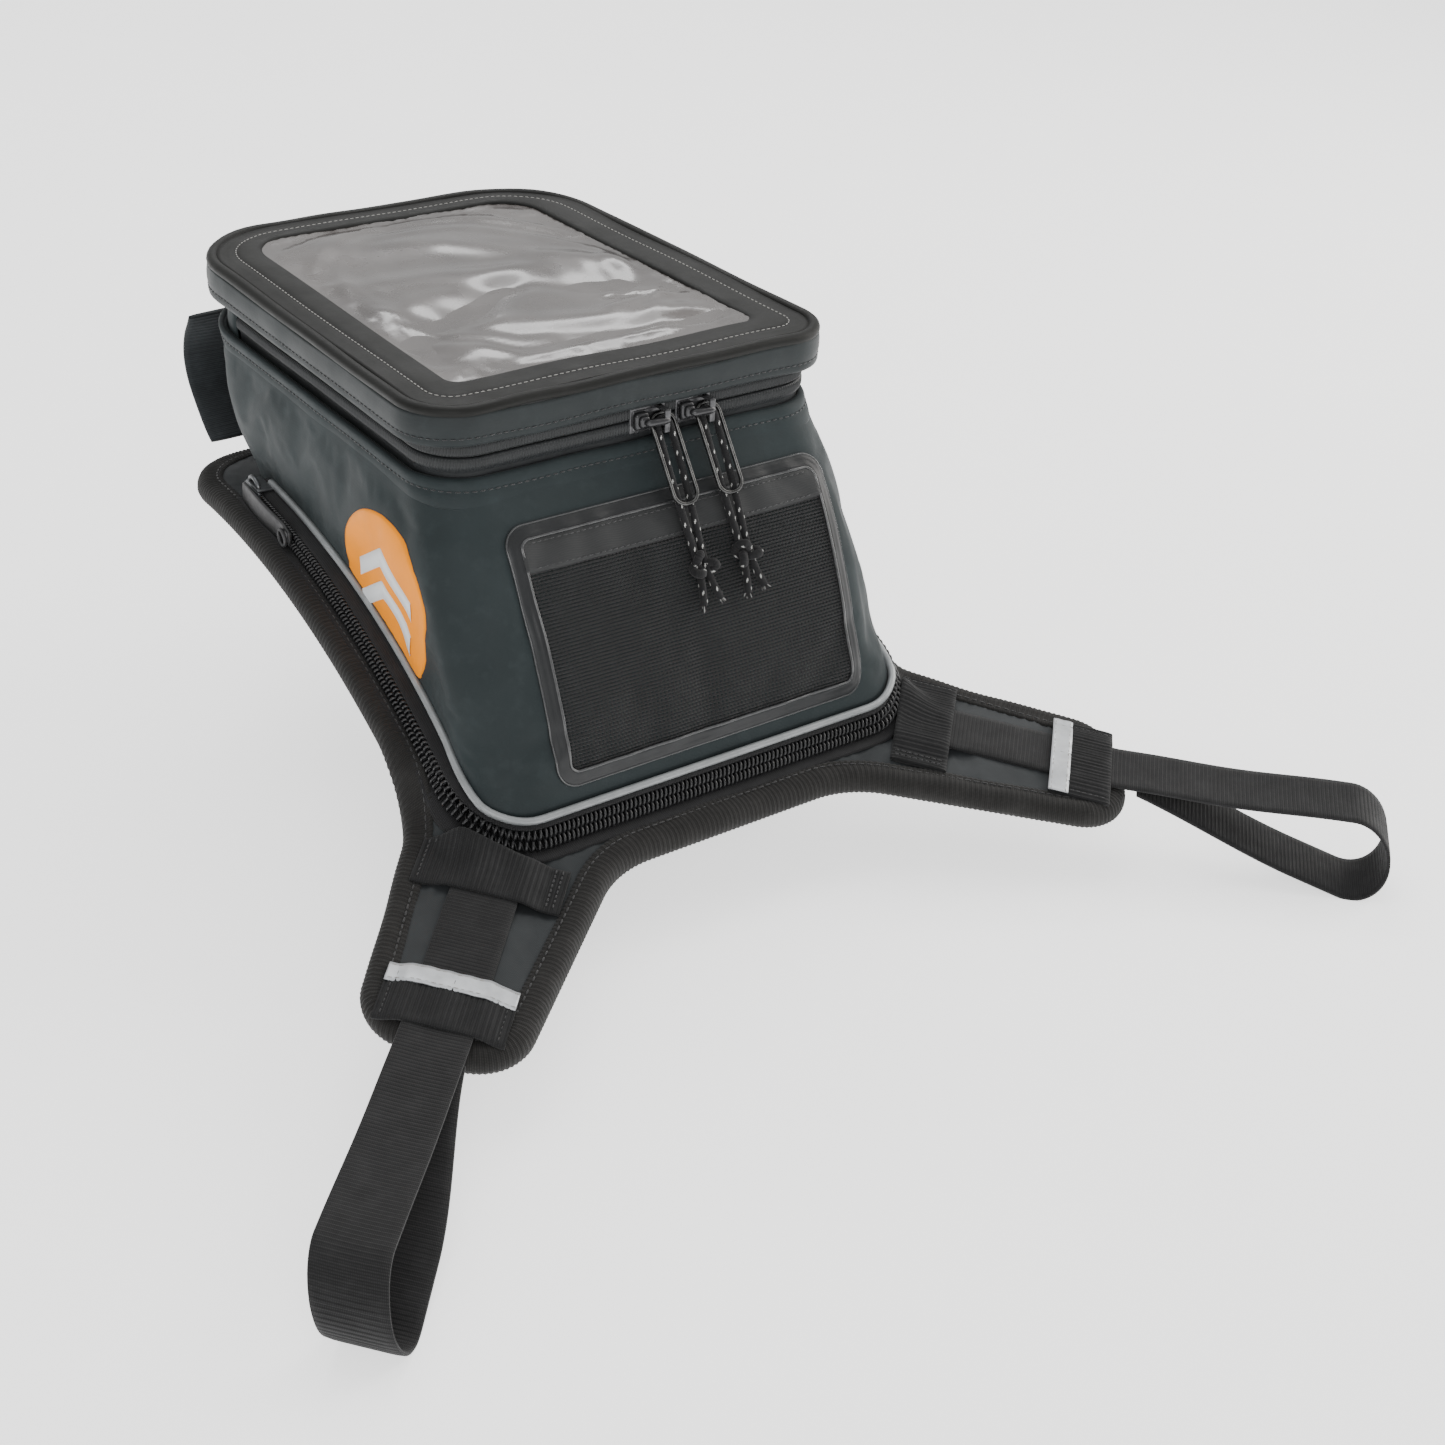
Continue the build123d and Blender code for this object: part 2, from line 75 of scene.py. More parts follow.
# ---- tank surface --------------------------------------------------------------------------------
CREST_Y, CREST_RADIUS = 90.0, 368.0
CREST_Z = -math.sqrt(CREST_RADIUS**2 - CREST_Y**2)
ARM_SLOPE = math.radians(10.8)
ARM_LINE_Z = -29.6
HOLLOW_RADIUS = 60.0

# ---- plans: rear y, rear half width, front y, front half width -----------------------------------
CHAIN_PLAN = (-112.0, 102.0, 134.0, 85.0)
LOW_PLAN, LOW_Z = (-121.5, 102.5, 97.4, 73.8), -50.0
FULL_PLAN, FULL_Z = (-71.0, 93.0, 146.0, 86.5), 59.0
RIM_PLAN, RIM_Z = (-59.0, 90.0, 154.0, 86.0), 79.0
LID_PLAN = (-60.0, 94.3, 156.0, 89.8)
REAR_CORNER, FRONT_CORNER, LEAST_CORNER = 22.0, 42.0, 6.0

# ---- layers on the tank --------------------------------------------------------------------------
PAD_TOP, BINDING_WIDTH = 8.0, 11.0
COIL_LOW, COIL_HIGH = (9.0, 12.6), (11.4, 15.0)
TAPE_LIFT, SHELF_LIFT, PIPING_LIFT = 15.5, 16.0, 17.6
WALL_THICK = 2.2
PAD_CORNERS = [(103, 146), (116.5, -82), (180, -156), (147, -205), (56, -132)]
PAD_RADII = [38, 40, 20, 22, 45]

# ---- lid zipper ----------------------------------------------------------------------------------
RIM_TOP, LID_HEM, ZIP_Z = 82.4, 97.0, 91.0
ZIP_INSET, ZIP_TAPE = 3.0, 0.8
HINGE_PANEL_Y = 112.0
CHAIN_END_Y = 94.0
WINDOW_INSET = 24.0

# ---- harness arms --------------------------------------------------------------------------------
ARM_START, ARM_ANGLE = (96.5, -113.0), math.radians(-45.6)
WEB_WIDTH, WEB_THICK = 25.0, 1.6
WEB_LIFT = 9.5
INNER_KEEPER, OUTER_KEEPER = (0.0, 23.0, 55.0), (64.5, 90.0, 46.0)
STRIP_WIDTH = 8.5
ARM_TIP, STRAP_LIFT = 101.0, 10.6
LOOP_CENTRE, LOOP_RADIUS = 190.0, 14.3

# ---- rear pocket and side patch ------------------------------------------------------------------
POCKET_LOW, POCKET_HIGH, POCKET_HALF = -86.5, 2.0, (68.0, 68.0)
POCKET_X = 4.5
POCKET_BAND = 13.0
EMBLEM_AT, EMBLEM_RADIUS = (-27.0, 26.0), 35.0

# ---- sliders and pulls ---------------------------------------------------------------------------
SLIDER_X = {"left": 3.0, "right": 24.0}
SLIDER_FACE = -57.6
HOOK_X, PIVOT_OUT, PIVOT_UP = 5.0, 1.1, 1.6
PULL_LEAN = math.radians(31.5)
CORD_LENGTH, CORD_DIAMETER = 0.1485, 0.0029
KNOT_AT = 60.0

random.seed(7)


# ==== small mathematics ===========================================================================
def unit(v):
    v = np.asarray(v, float)
    return v / np.maximum(np.linalg.norm(v, axis=-1, keepdims=True), 1e-9)


def ease(t):
    t = np.clip(t, 0.0, 1.0)
    return t * t * (3 - 2 * t)


def ripple(points, size, wavelength, seed, count=7):
    """A soft, irregular height at each point: several sine waves in seeded directions."""
    rng = np.random.default_rng(seed)
    total = np.zeros(points.shape[:-1])
    for _ in range(count):
        way = unit(rng.normal(size=3)) * 2 * math.pi / (wavelength * rng.uniform(0.7, 1.5))
        total += np.sin(points @ way + rng.uniform(0, 2 * math.pi))
    return size * total / math.sqrt(count)


def hollow_arc():
    """Centre of the hollow arc between the tank's crest arc and the arms' straight slope."""
    normal = (-math.sin(ARM_SLOPE), math.cos(ARM_SLOPE))
    back = (-math.cos(ARM_SLOPE), -math.sin(ARM_SLOPE))
    start = (normal[0] * HOLLOW_RADIUS, ARM_LINE_Z + normal[1] * HOLLOW_RADIUS)
    dy, dz = start[0] - CREST_Y, start[1] - CREST_Z
    half_b = dy * back[0] + dz * back[1]
    run = -half_b + math.sqrt(half_b**2 - (dy * dy + dz * dz - (CREST_RADIUS + HOLLOW_RADIUS) ** 2))
    return start[0] + back[0] * run, start[1] + back[1] * run


HOLLOW_Y, HOLLOW_Z = hollow_arc()
JOIN_ANGLE = math.atan2(HOLLOW_Z - CREST_Z, HOLLOW_Y - CREST_Y)


def slope_height(y, lift):
    return ARM_LINE_Z + y * math.tan(ARM_SLOPE) + lift / math.cos(ARM_SLOPE)


def tank_height(y, lift):
    """Height of the tank's side profile at a lift: crest arc, hollow arc, then the arms' slope."""
    crest_radius, dip_radius = CREST_RADIUS + lift, HOLLOW_RADIUS - lift
    crest = CREST_Z + np.sqrt(np.maximum(crest_radius**2 - (y - CREST_Y) ** 2, 1.0))
    dip = HOLLOW_Z - np.sqrt(np.maximum(dip_radius**2 - (y - HOLLOW_Y) ** 2, 0.0))
    join_y = CREST_Y + crest_radius * math.cos(JOIN_ANGLE)
    foot_y = HOLLOW_Y + dip_radius * math.sin(ARM_SLOPE)
    return np.where(y > join_y, crest, np.where(y > foot_y, dip, slope_height(y, lift)))


def arm_place(x, y):
    """How far a plan point is out along its arm, and across it towards the front."""
    dx, dy = np.abs(x) - ARM_START[0], y - ARM_START[1]
    cos, sin = math.cos(ARM_ANGLE), math.sin(ARM_ANGLE)
    return dx * cos + dy * sin, -dx * sin + dy * cos


def laid(x, y, lift):
    """Plan points laid on the tank at a lift; the arms droop beside the bag to their own slope."""
    x, y, lift = np.broadcast_arrays(*[np.asarray(v, float) for v in (x, y, lift)])
    run, _ = arm_place(x, y)
    rear_y, rear_half, front_y, front_half = CHAIN_PLAN
    side = np.abs(x) - rear_half + (rear_half - front_half) * (y - rear_y) / (front_y - rear_y)
    outside = np.maximum(side, rear_y - y)
    droop = ease((outside - 3) / 13) * ease((run + 28) / 28)
    high = tank_height(y, lift)
    low = np.minimum(high, slope_height(y, lift))
    return np.stack([x, y, high + (low - high) * droop], -1)


def on_arm(run, across, lift, side):
    """Points on an arm: out along it, across it towards the front, and up; side is 1 or -1."""
    run, across = np.broadcast_arrays(np.asarray(run, float), np.asarray(across, float))
    cos, sin = math.cos(ARM_ANGLE), math.sin(ARM_ANGLE)
    x = ARM_START[0] + run * cos - across * sin
    y = ARM_START[1] + run * sin + across * cos
    return laid(x, y, lift) * np.array([side, 1.0, 1.0])


def rounded(corners, radii, counts, arc=12):
    """Points and outward normals round a polygon, anticlockwise, with each corner rounded."""
    corners = [np.array(c, float) for c in corners]
    count = len(corners)
    arcs = []
    for i, (corner, radius) in enumerate(zip(corners, radii)):
        before, after = unit(corner - corners[i - 1]), unit(corners[(i + 1) % count] - corner)
        turn = math.atan2(before[0] * after[1] - before[1] * after[0], before @ after)
        start = corner - before * radius * math.tan(abs(turn) / 2)
        normal = np.array([before[1], -before[0]])
        inwards = radius * math.copysign(1, turn)
        centre = start - normal * inwards
        angles = np.linspace(0, turn, arc + 1)
        spun = np.stack([normal[0] * np.cos(angles) - normal[1] * np.sin(angles),
                         normal[0] * np.sin(angles) + normal[1] * np.cos(angles)], -1)
        arcs.append((centre + spun * inwards, spun))
    points, normals = [], []
    for i, (where, spun) in enumerate(arcs):
        points.append(where)
        normals.append(spun)
        nxt = arcs[(i + 1) % count][0][0]
        between = np.linspace(0, 1, counts[i] + 2)[1:-1, None]
        points.append(where[-1] + (nxt - where[-1]) * between)
        normals.append(np.repeat(spun[-1:], counts[i], axis=0))
    return np.concatenate(points), np.concatenate(normals)


def outline(sizes, grow=0.0, counts=(60, 48, 60, 40)):
    """Round a bag plan from its front left corner: left side, rear, right side, front."""
    rear_y, rear_half, front_y, front_half = sizes
    slant = math.atan2(rear_half - front_half, front_y - rear_y)
    out = grow / math.cos(slant)
    rear_y, front_y = rear_y - grow, front_y + grow
    rear_half += out + grow * math.tan(slant)
    front_half += out - grow * math.tan(slant)
    corners = [(-front_half, front_y), (-rear_half, rear_y), (rear_half, rear_y), (front_half, front_y)]
    rear, front = max(REAR_CORNER + grow, LEAST_CORNER), max(FRONT_CORNER + grow, LEAST_CORNER)
    return rounded(corners, [front, rear, rear, front], counts)


def lengths(line, closed=False):
    """Distance along a line at each of its points."""
    line = np.concatenate([line, line[:1]]) if closed else line
    return np.concatenate([[0], np.cumsum(np.linalg.norm(np.diff(line, axis=0), axis=1))])


def resampled(line, step, closed=False, extra=()):
    """The line again with points a step apart, and what goes with its points, such as normals."""
    along = lengths(line, closed)
    count = max(2, int(round(along[-1] / step)))
    at = np.linspace(0, along[-1], count + 1)
    at = at[:-1] if closed else at
    made = []
    for values in (line, *extra):
        values = np.concatenate([values, values[:1]]) if closed else values
        made.append(np.stack([np.interp(at, along, values[:, k]) for k in range(values.shape[1])], -1))
    return at, made


def carried(line, closed=False):
    """Two directions square to a line at each of its points, carried along it without twist."""
    ahead = np.roll(line, -1, 0) - np.roll(line, 1, 0) if closed else np.gradient(line, axis=0)
    ahead = unit(ahead)
    first = np.cross(ahead[0], [0.3, 0.5, 0.81])
    sides = [unit(first)]
    for way in ahead[1:]:
        side = sides[-1] - way * (sides[-1] @ way)
        sides.append(unit(side))
    side = np.array(sides)
    return side, np.cross(ahead, side)


# ==== mesh making =================================================================================
class Build:
    """Collects sheets, tubes and small solids, and makes them into one named piece."""

    def __init__(self):
        self.points, self.loops, self.sizes, self.maps, self.slots = [], [], [], [], []
        self.count = 0

    def add(self, points, faces, maps=None, slot=0):
        """Adds points and faces; faces is an array of quads or a list of faces of any size."""
        points = np.asarray(points, float).reshape(-1, 3)
        sizes = [faces.shape[1]] * len(faces) if isinstance(faces, np.ndarray) else [len(f) for f in faces]
        loops = faces.ravel() if isinstance(faces, np.ndarray) else np.array([v for f in faces for v in f])
        self.points.append(points)
        self.loops.append(loops + self.count)
        self.sizes.append(np.array(sizes))
        self.maps.append(np.zeros((len(loops), 2)) if maps is None else np.reshape(maps, (-1, 2)))
        self.slots.append(np.broadcast_to(np.asarray(slot), (len(sizes),)))
        self.count += len(points)

    def sheet(self, grid, around=False, across=False, slot=0, caps=False):
        """A grid of points as quads; around joins the last row to the first, across the columns."""
        grid = np.asarray(grid, float)
        rows, cols = grid.shape[:2]
        i, j = np.meshgrid(np.arange(rows - (not around)), np.arange(cols - (not across)), indexing="ij")
        i, j = i.ravel(), j.ravel()
        i2, j2 = (i + 1) % rows, (j + 1) % cols
        quads = np.stack([i * cols + j, i2 * cols + j, i2 * cols + j2, i * cols + j2], -1)
        u = lengths(grid[:, cols // 2], around) * MM
        v = lengths(grid[rows // 2], across) * MM
        maps = np.stack([np.stack(p, -1) for p in
                         ((u[i], v[j]), (u[i + 1], v[j]), (u[i + 1], v[j + 1]), (u[i], v[j + 1]))], 1)
        self.add(grid, quads, maps, slot)
        if caps:
            first = np.arange(cols) - rows * cols
            ends = np.array([first, first + (rows - 1) * cols])
            self.add(np.zeros((0, 3)), ends, None, slot if np.ndim(slot) == 0 else 0)

    def tube(self, line, radius, sides=8, closed=False, slot=0):
        """A round tube along a line; radius is one number or one for each point."""
        side, up = carried(line, closed)
        angle = np.linspace(0, 2 * math.pi, sides, endpoint=False)
        radius = np.broadcast_to(np.asarray(radius, float), (len(line),))[:, None, None]
        ring = side[:, None] * np.cos(angle)[None, :, None] + up[:, None] * np.sin(angle)[None, :, None]
        self.sheet(line[:, None] + ring * radius, around=closed, across=True, slot=slot, caps=not closed)

    def capsule(self, start, end, radius, sides=6, slot=0, flat=1.0, up=(0, 0, 1)):
        """A short rounded thread from one point to another."""
        start, end = np.asarray(start, float), np.asarray(end, float)
        way = unit(end - start)
        side = unit(np.cross(way, up))
        top = np.cross(side, way)
        length = np.linalg.norm(end - start)
        at = np.array([0.0, 0.12, 0.35, 0.65, 0.88, 1.0]) * length
        wide = np.array([0.35, 0.8, 1.0, 1.0, 0.8, 0.35]) * radius
        angle = np.linspace(0, 2 * math.pi, sides, endpoint=False)
        ring = side * np.cos(angle)[:, None] + top * np.sin(angle)[:, None] * flat
        self.sheet(start + way * at[:, None, None] + ring[None] * wide[:, None, None],
                   across=True, slot=slot, caps=True)

    def block(self, centre, size, soften, axes=None, steps=3, slot=0):
        """A solid with rounded edges, on its own axes."""
        mesh = bmesh.new()
        bmesh.ops.create_cube(mesh, size=1.0)
        bmesh.ops.scale(mesh, vec=size, verts=mesh.verts)
        bmesh.ops.bevel(mesh, geom=mesh.edges[:], offset=soften, segments=steps, profile=0.5,
                        affect="EDGES")
        axes = np.eye(3) if axes is None else np.asarray(axes, float)
        points = np.array([v.co for v in mesh.verts]) @ axes + np.asarray(centre, float)
        self.add(points, [[v.index for v in f.verts] for f in mesh.faces], None, slot)
        mesh.free()

    def make(self, name, materials, body, replaces=(), slot=None, smooth=True, recalc=True):
        mesh = bpy.data.meshes.new(name)
        points, loops = np.concatenate(self.points), np.concatenate(self.loops)
        sizes = np.concatenate(self.sizes)
        mesh.vertices.add(len(points))
        mesh.loops.add(len(loops))
        mesh.polygons.add(len(sizes))
        mesh.vertices.foreach_set("co", (points * MM).astype(np.float32).ravel())
        mesh.loops.foreach_set("vertex_index", loops.astype(np.int32))
        starts = np.concatenate([[0], np.cumsum(sizes)[:-1]])
        mesh.polygons.foreach_set("loop_start", starts.astype(np.int32))
        mesh.update(calc_edges=True)
        layer = mesh.uv_layers.new(name="Lengthwise")
        layer.data.foreach_set("uv", np.concatenate(self.maps).astype(np.float32).ravel())
        for material in materials if isinstance(materials, (list, tuple)) else [materials]:
            mesh.materials.append(material)
        mesh.polygons.foreach_set("material_index", np.concatenate(self.slots).astype(np.int32))
        if recalc:
            work = bmesh.new()
            work.from_mesh(mesh)
            bmesh.ops.recalc_face_normals(work, faces=work.faces)
            work.to_mesh(mesh)
            work.free()
        if smooth:
            mesh.shade_smooth()
        mesh.validate()
        piece = bpy.data.objects.new(name, mesh)
        bpy.context.scene.collection.objects.link(piece)
        if body:
            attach(piece, body)
        if replaces:
            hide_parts(*replaces)
        return piece


def webbing(build, place, length, width, thick, pitch=1.7, depth=0.14, slot=0, start=0.0, across=11):
    """Woven webbing with ribs across it. place(s, t, h) puts its length, width and height in space."""
    s = start + np.linspace(0, length, max(8, int(length / pitch * 4) + 1))
    t = np.linspace(-1, 1, across)
    top = np.stack([t * (width / 2 - 0.35), (1 - 0.25 * np.abs(t) ** 8) * thick / 2], -1)
    edge = np.array([[width / 2, 0.0]])
    section = np.concatenate([top, edge, top[::-1] * [1, -1], -edge])
    swell = depth * np.cos(2 * math.pi * s / pitch)[:, None] * np.sign(section[:, 1])[None]
    swell = swell * (1 - np.abs(section[:, 0] / (width / 2)) ** 10)[None]
    grid_s, grid_t = np.meshgrid(s, section[:, 0], indexing="ij")
    build.sheet(place(grid_s, grid_t, section[:, 1][None] + swell), across=True, slot=slot, caps=True)


def stitches(build, line, lift, step, share, radius, closed=False, slot=0, skip=lambda p: False):
    """A row of thread stitches along a line; lift is which way the surface faces."""
    line = np.asarray(line, float)
    _, (points,) = resampled(line, step, closed)
    ups = lift(points) if callable(lift) else np.broadcast_to(np.asarray(lift, float), points.shape)
    last = len(points) if closed else len(points) - 1
    for i in range(last):
        here, there = points[i], points[(i + 1) % len(points)]
        if skip(here):
            continue
        end = here + (there - here) * share
        build.capsule(here, end, radius, sides=5, slot=slot, flat=0.8, up=ups[i])


def swept(sizes, profile):
    """A closed profile of (grow, z) carried round a plan."""
    rows = []
    for grow, z in profile:
        points, _ = outline(sizes, grow)
        rows.append(np.concatenate([points, np.full((len(points), 1), z)], 1))
    return np.stack(rows, 1)


# ==== cloth =======================================================================================
def settled(grid, around, pinned, cap, pressure=1.0, spare=0.01, frames=18, stiff=25.0):
    """A sheet's grid of points after a short cloth simulation, moved by no more than cap (mm)."""
    build = Build()
    build.sheet(grid, around=around)
    cloth = build.make("simulated_sheet", [], None, recalc=False)
    group = cloth.vertex_groups.new(name="pinned")
    weights = pinned.reshape(-1)
    for value in np.unique(weights):
        group.add(np.flatnonzero(weights == value).tolist(), float(value), "REPLACE")
    modifier = cloth.modifiers.new("Cloth", "CLOTH")
    settings = modifier.settings
    settings.vertex_group_mass = "pinned"
    settings.effector_weights.gravity = 0.0
    settings.use_pressure = True
    settings.uniform_pressure_force = pressure
    settings.shrink_min = -spare
    settings.quality = 6
    settings.mass = 0.3
    settings.tension_stiffness = settings.compression_stiffness = stiff
    settings.bending_stiffness = 0.6
    settings.air_damping = 4.0
    scene = bpy.context.scene
    modifier.point_cache.frame_end = frames
    for step in range(1, frames + 1):
        scene.frame_set(step)
    found = cloth.evaluated_get(bpy.context.evaluated_depsgraph_get()).to_mesh()
    moved = np.zeros(len(found.vertices) * 3)
    found.vertices.foreach_get("co", moved)
    moved = moved.reshape(grid.shape) / MM - grid
    scene.frame_set(1)
    bpy.data.objects.remove(cloth)
    far = np.linalg.norm(moved, axis=-1, keepdims=True)
    return grid + moved * np.minimum(1.0, cap / np.maximum(far, 1e-9))


# ==== materials ===================================================================================
class Surface:
    """A procedural material, with short calls for its nodes."""

    def __init__(self, name, **sockets):
        self.material = bpy.data.materials.new(name)
        self.material.use_nodes = True
        self.tree = self.material.node_tree
        self.shader = next(n for n in self.tree.nodes if n.type == "BSDF_PRINCIPLED")
        for socket, value in sockets.items():
            self.shader.inputs[socket.replace("_", " ")].default_value = value
        self.normal = None

    def node(self, kind, inputs=(), **settings):
        made = self.tree.nodes.new(kind)
        for key, value in settings.items():
            setattr(made, key, value)
        for key, value in dict(inputs).items():
            if isinstance(value, bpy.types.NodeSocket):
                self.tree.links.new(value, made.inputs[key])
            else:
                made.inputs[key].default_value = value
        return made

    def where(self, lengthwise=False, scale=(1, 1, 1)):
        """Places on the surface in metres: in the row frame, or along and across a sheet."""
        if lengthwise:
            source = self.node("ShaderNodeUVMap", uv_map="Lengthwise").outputs["UV"]
        else:
            source = self.node("ShaderNodeTexCoord").outputs["Object"]
        return self.node("ShaderNodeMapping", {"Vector": source, "Scale": scale}).outputs["Vector"]

    def noise(self, place, size, detail=3.0, rough=0.55):
        """Irregular patches about size millimetres across."""
        return self.node("ShaderNodeTexNoise", {"Vector": place, "Scale": 1 / (size * MM), "Detail": detail,
                                                "Roughness": rough}).outputs["Fac"]

    def lines(self, place, pitch, way="X", wander=0.0):
        """Even parallel lines, a pitch in millimetres apart."""
        scale = 2 * math.pi / (20 * pitch * MM)
        made = self.node("ShaderNodeTexWave", {"Vector": place, "Scale": scale, "Distortion": wander},
                         wave_type="BANDS", bands_direction=way)
        return made.outputs["Fac"]

    def spread(self, value, low, high, start=0.3, end=0.7):
        return self.node("ShaderNodeMapRange", {"Value": value, "From Min": start, "From Max": end,
                                                "To Min": low, "To Max": high}).outputs["Result"]

    def times(self, first, second, operation="MULTIPLY"):
        return self.node("ShaderNodeMath", {0: first, 1: second}, operation=operation).outputs[0]

    def blend(self, share, first, second):
        """A colour between two others; each is a triple or a node's output."""
        colours = [c if isinstance(c, bpy.types.NodeSocket) else (*c, 1.0) for c in (first, second)]
        made = self.node("ShaderNodeMix", {0: share, 6: colours[0], 7: colours[1]}, data_type="RGBA")
        return made.outputs[2]

    def bump(self, height, strength, depth):
        """Raises the surface by a height; several calls add up. depth is in millimetres."""
        inputs = {"Height": height, "Strength": strength, "Distance": depth * MM}
        if self.normal is not None:
            inputs["Normal"] = self.normal
        self.normal = self.node("ShaderNodeBump", inputs).outputs["Normal"]

    def done(self, colour=None, rough=None):
        if colour is not None:
            self.tree.links.new(colour, self.shader.inputs["Base Color"])
        if rough is not None:
            self.tree.links.new(rough, self.shader.inputs["Roughness"])
        if self.normal is not None:
            self.tree.links.new(self.normal, self.shader.inputs["Normal"])
        return self.material


def shade(colour, by):
    return tuple(c * by for c in colour)


def coated_fabric(name, colour, rough, grain=0.35, sheen=0.03, gloss=0.26):
    """Coated tarpaulin: fine grain over a faint weave, mottled sheen and scuffed paler patches."""
    s = Surface(name, Sheen_Weight=sheen, Sheen_Roughness=0.45, Specular_IOR_Level=gloss)
    place = s.where()
    blotch, scuff = s.noise(place, 38), s.noise(place, 7, 4)
    weave = s.times(s.lines(place, 1.1, "DIAGONAL"), s.lines(place, 1.1, "Z"), "ADD")
    tone = s.blend(s.spread(blotch, 0, 1), shade(colour, 0.86), shade(colour, 1.16))
    tone = s.blend(s.spread(scuff, 0, 0.35, 0.52, 0.75), tone, shade(colour, 1.6))
    s.bump(s.noise(place, 0.9, 4), grain, 0.10)
    s.bump(weave, 0.10, 0.05)
    s.bump(s.noise(place, 14, 2), 0.25, 0.5)
    return s.done(tone, s.spread(s.noise(place, 20), rough - 0.06, rough + 0.08))


def woven(name, colour, rough=0.78, across=0.55, along=0.85, sheen=0.08):
    """Woven tape or webbing: fine yarns along it, crossed by ribs, with a little fuzz."""
    s = Surface(name, Sheen_Weight=sheen, Sheen_Roughness=0.6, Specular_IOR_Level=0.18)
    place, solid = s.where(lengthwise=True), s.where()
    yarns = s.lines(place, across, "Y", 0.6)
    picks = s.lines(place, along, "X", 0.6)
    weave = s.times(yarns, picks)
    tone = s.blend(s.spread(weave, 0, 1, 0.05, 0.6), shade(colour, 0.55), shade(colour, 1.25))
    tone = s.blend(s.spread(s.noise(solid, 9, 4), 0, 0.3, 0.45, 0.75), tone, shade(colour, 1.9))
    s.bump(weave, 0.55, 0.16)
    s.bump(s.noise(solid, 0.5, 4), 0.35, 0.08)
    return s.done(tone, s.spread(s.noise(solid, 6), rough - 0.06, rough + 0.08))


def cloth_weave(name, colour, rough=0.72, pitch=0.62, sheen=0.06):
    """Plain woven pad cloth with a polyurethane finish."""
    s = Surface(name, Sheen_Weight=sheen, Sheen_Roughness=0.5, Specular_IOR_Level=0.25)
    place = s.where()
    weave = s.times(s.lines(place, pitch, "X", 0.4), s.lines(place, pitch, "Y", 0.4))
    tone = s.blend(s.spread(weave, 0, 1, 0.05, 0.7), shade(colour, 0.8), shade(colour, 1.12))
    tone = s.blend(s.spread(s.noise(place, 25, 3), 0, 0.5), tone, shade(colour, 1.3))
    s.bump(weave, 0.3, 0.1)
    s.bump(s.noise(place, 0.8, 3), 0.2, 0.08)
    return s.done(tone, s.spread(s.noise(place, 12), rough - 0.08, rough + 0.06))


def clear_film():
    """Smoky flexible window film, with haze, faint scratches and a soft gloss."""
    s = Surface("window_film", Coat_Weight=0.8, Coat_Roughness=0.14, Specular_IOR_Level=0.6)
    place = s.where()
    haze = s.noise(place, 46, 3)
    tone = s.blend(s.spread(haze, 0, 1, 0.35, 0.65), (0.075, 0.066, 0.063), (0.130, 0.117, 0.111))
    scratch = s.noise(s.where(scale=(1, 14, 1)), 1.6, 2)
    s.bump(s.noise(place, 22, 2), 0.3, 0.6)
    s.bump(scratch, 0.05, 0.05)
    return s.done(tone, s.spread(s.noise(place, 16), 0.22, 0.34))


def moulded(name, colour, rough, grain=0.2, metallic=0.0, coat=0.0):
    """Moulded or painted hard part: a fine pebble grain, paler where its edges have rubbed."""
    s = Surface(name, Metallic=metallic, Coat_Weight=coat, Coat_Roughness=0.2)
    place = s.where()
    edge = s.node("ShaderNodeNewGeometry").outputs["Pointiness"]
    wear = s.times(s.spread(edge, 0, 1, 0.53, 0.62), s.spread(s.noise(place, 2.2, 4), 0.1, 1.0))
    tone = s.blend(s.spread(s.noise(place, 5), 0, 1), shade(colour, 0.85), shade(colour, 1.15))
    tone = s.blend(wear, tone, tuple(min(1.0, c * 2.2 + 0.03) for c in colour))
    s.bump(s.noise(place, 0.45, 3), grain, 0.06)
    return s.done(tone, s.spread(s.noise(place, 3), rough - 0.07, rough + 0.09))


def reflective(name, colour, rough=0.32):
    """Glass-bead reflective tape: pale, finely beaded, with a soft metallic lift."""
    s = Surface(name, Metallic=0.35, Coat_Weight=0.2, Coat_Roughness=0.3)
    place = s.where()
    beads = s.node("ShaderNodeTexVoronoi", {"Vector": place, "Scale": 1 / (0.5 * MM)}).outputs["Distance"]
    dirt = s.noise(place, 9, 4)
    tone = s.blend(s.spread(dirt, 0, 1, 0.4, 0.75), colour, shade(colour, 0.72))
    s.bump(beads, 0.35, 0.08)
    return s.done(tone, s.spread(dirt, rough, rough + 0.15))


def thread(name, colour):
    """Bonded sewing thread with its twist."""
    s = Surface(name, Roughness=0.55, Sheen_Weight=0.3)
    place = s.where(lengthwise=True)
    twist = s.lines(place, 0.35, "DIAGONAL")
    s.bump(twist, 0.6, 0.08)
    return s.done(s.blend(s.spread(twist, 0, 1), shade(colour, 0.75), shade(colour, 1.1)))


def printed(name, colour):
    """Weld-on vinyl patch, slightly faded and grained."""
    s = Surface(name, Coat_Weight=0.0, Coat_Roughness=0.3, Specular_IOR_Level=0.08)
    place = s.where()
    tone = s.blend(s.spread(s.noise(place, 18, 4), 0, 1), shade(colour, 0.92), shade(colour, 1.04))
    s.bump(s.noise(place, 0.7, 3), 0.2, 0.06)
    return s.done(tone, s.spread(s.noise(place, 8), 0.34, 0.46))


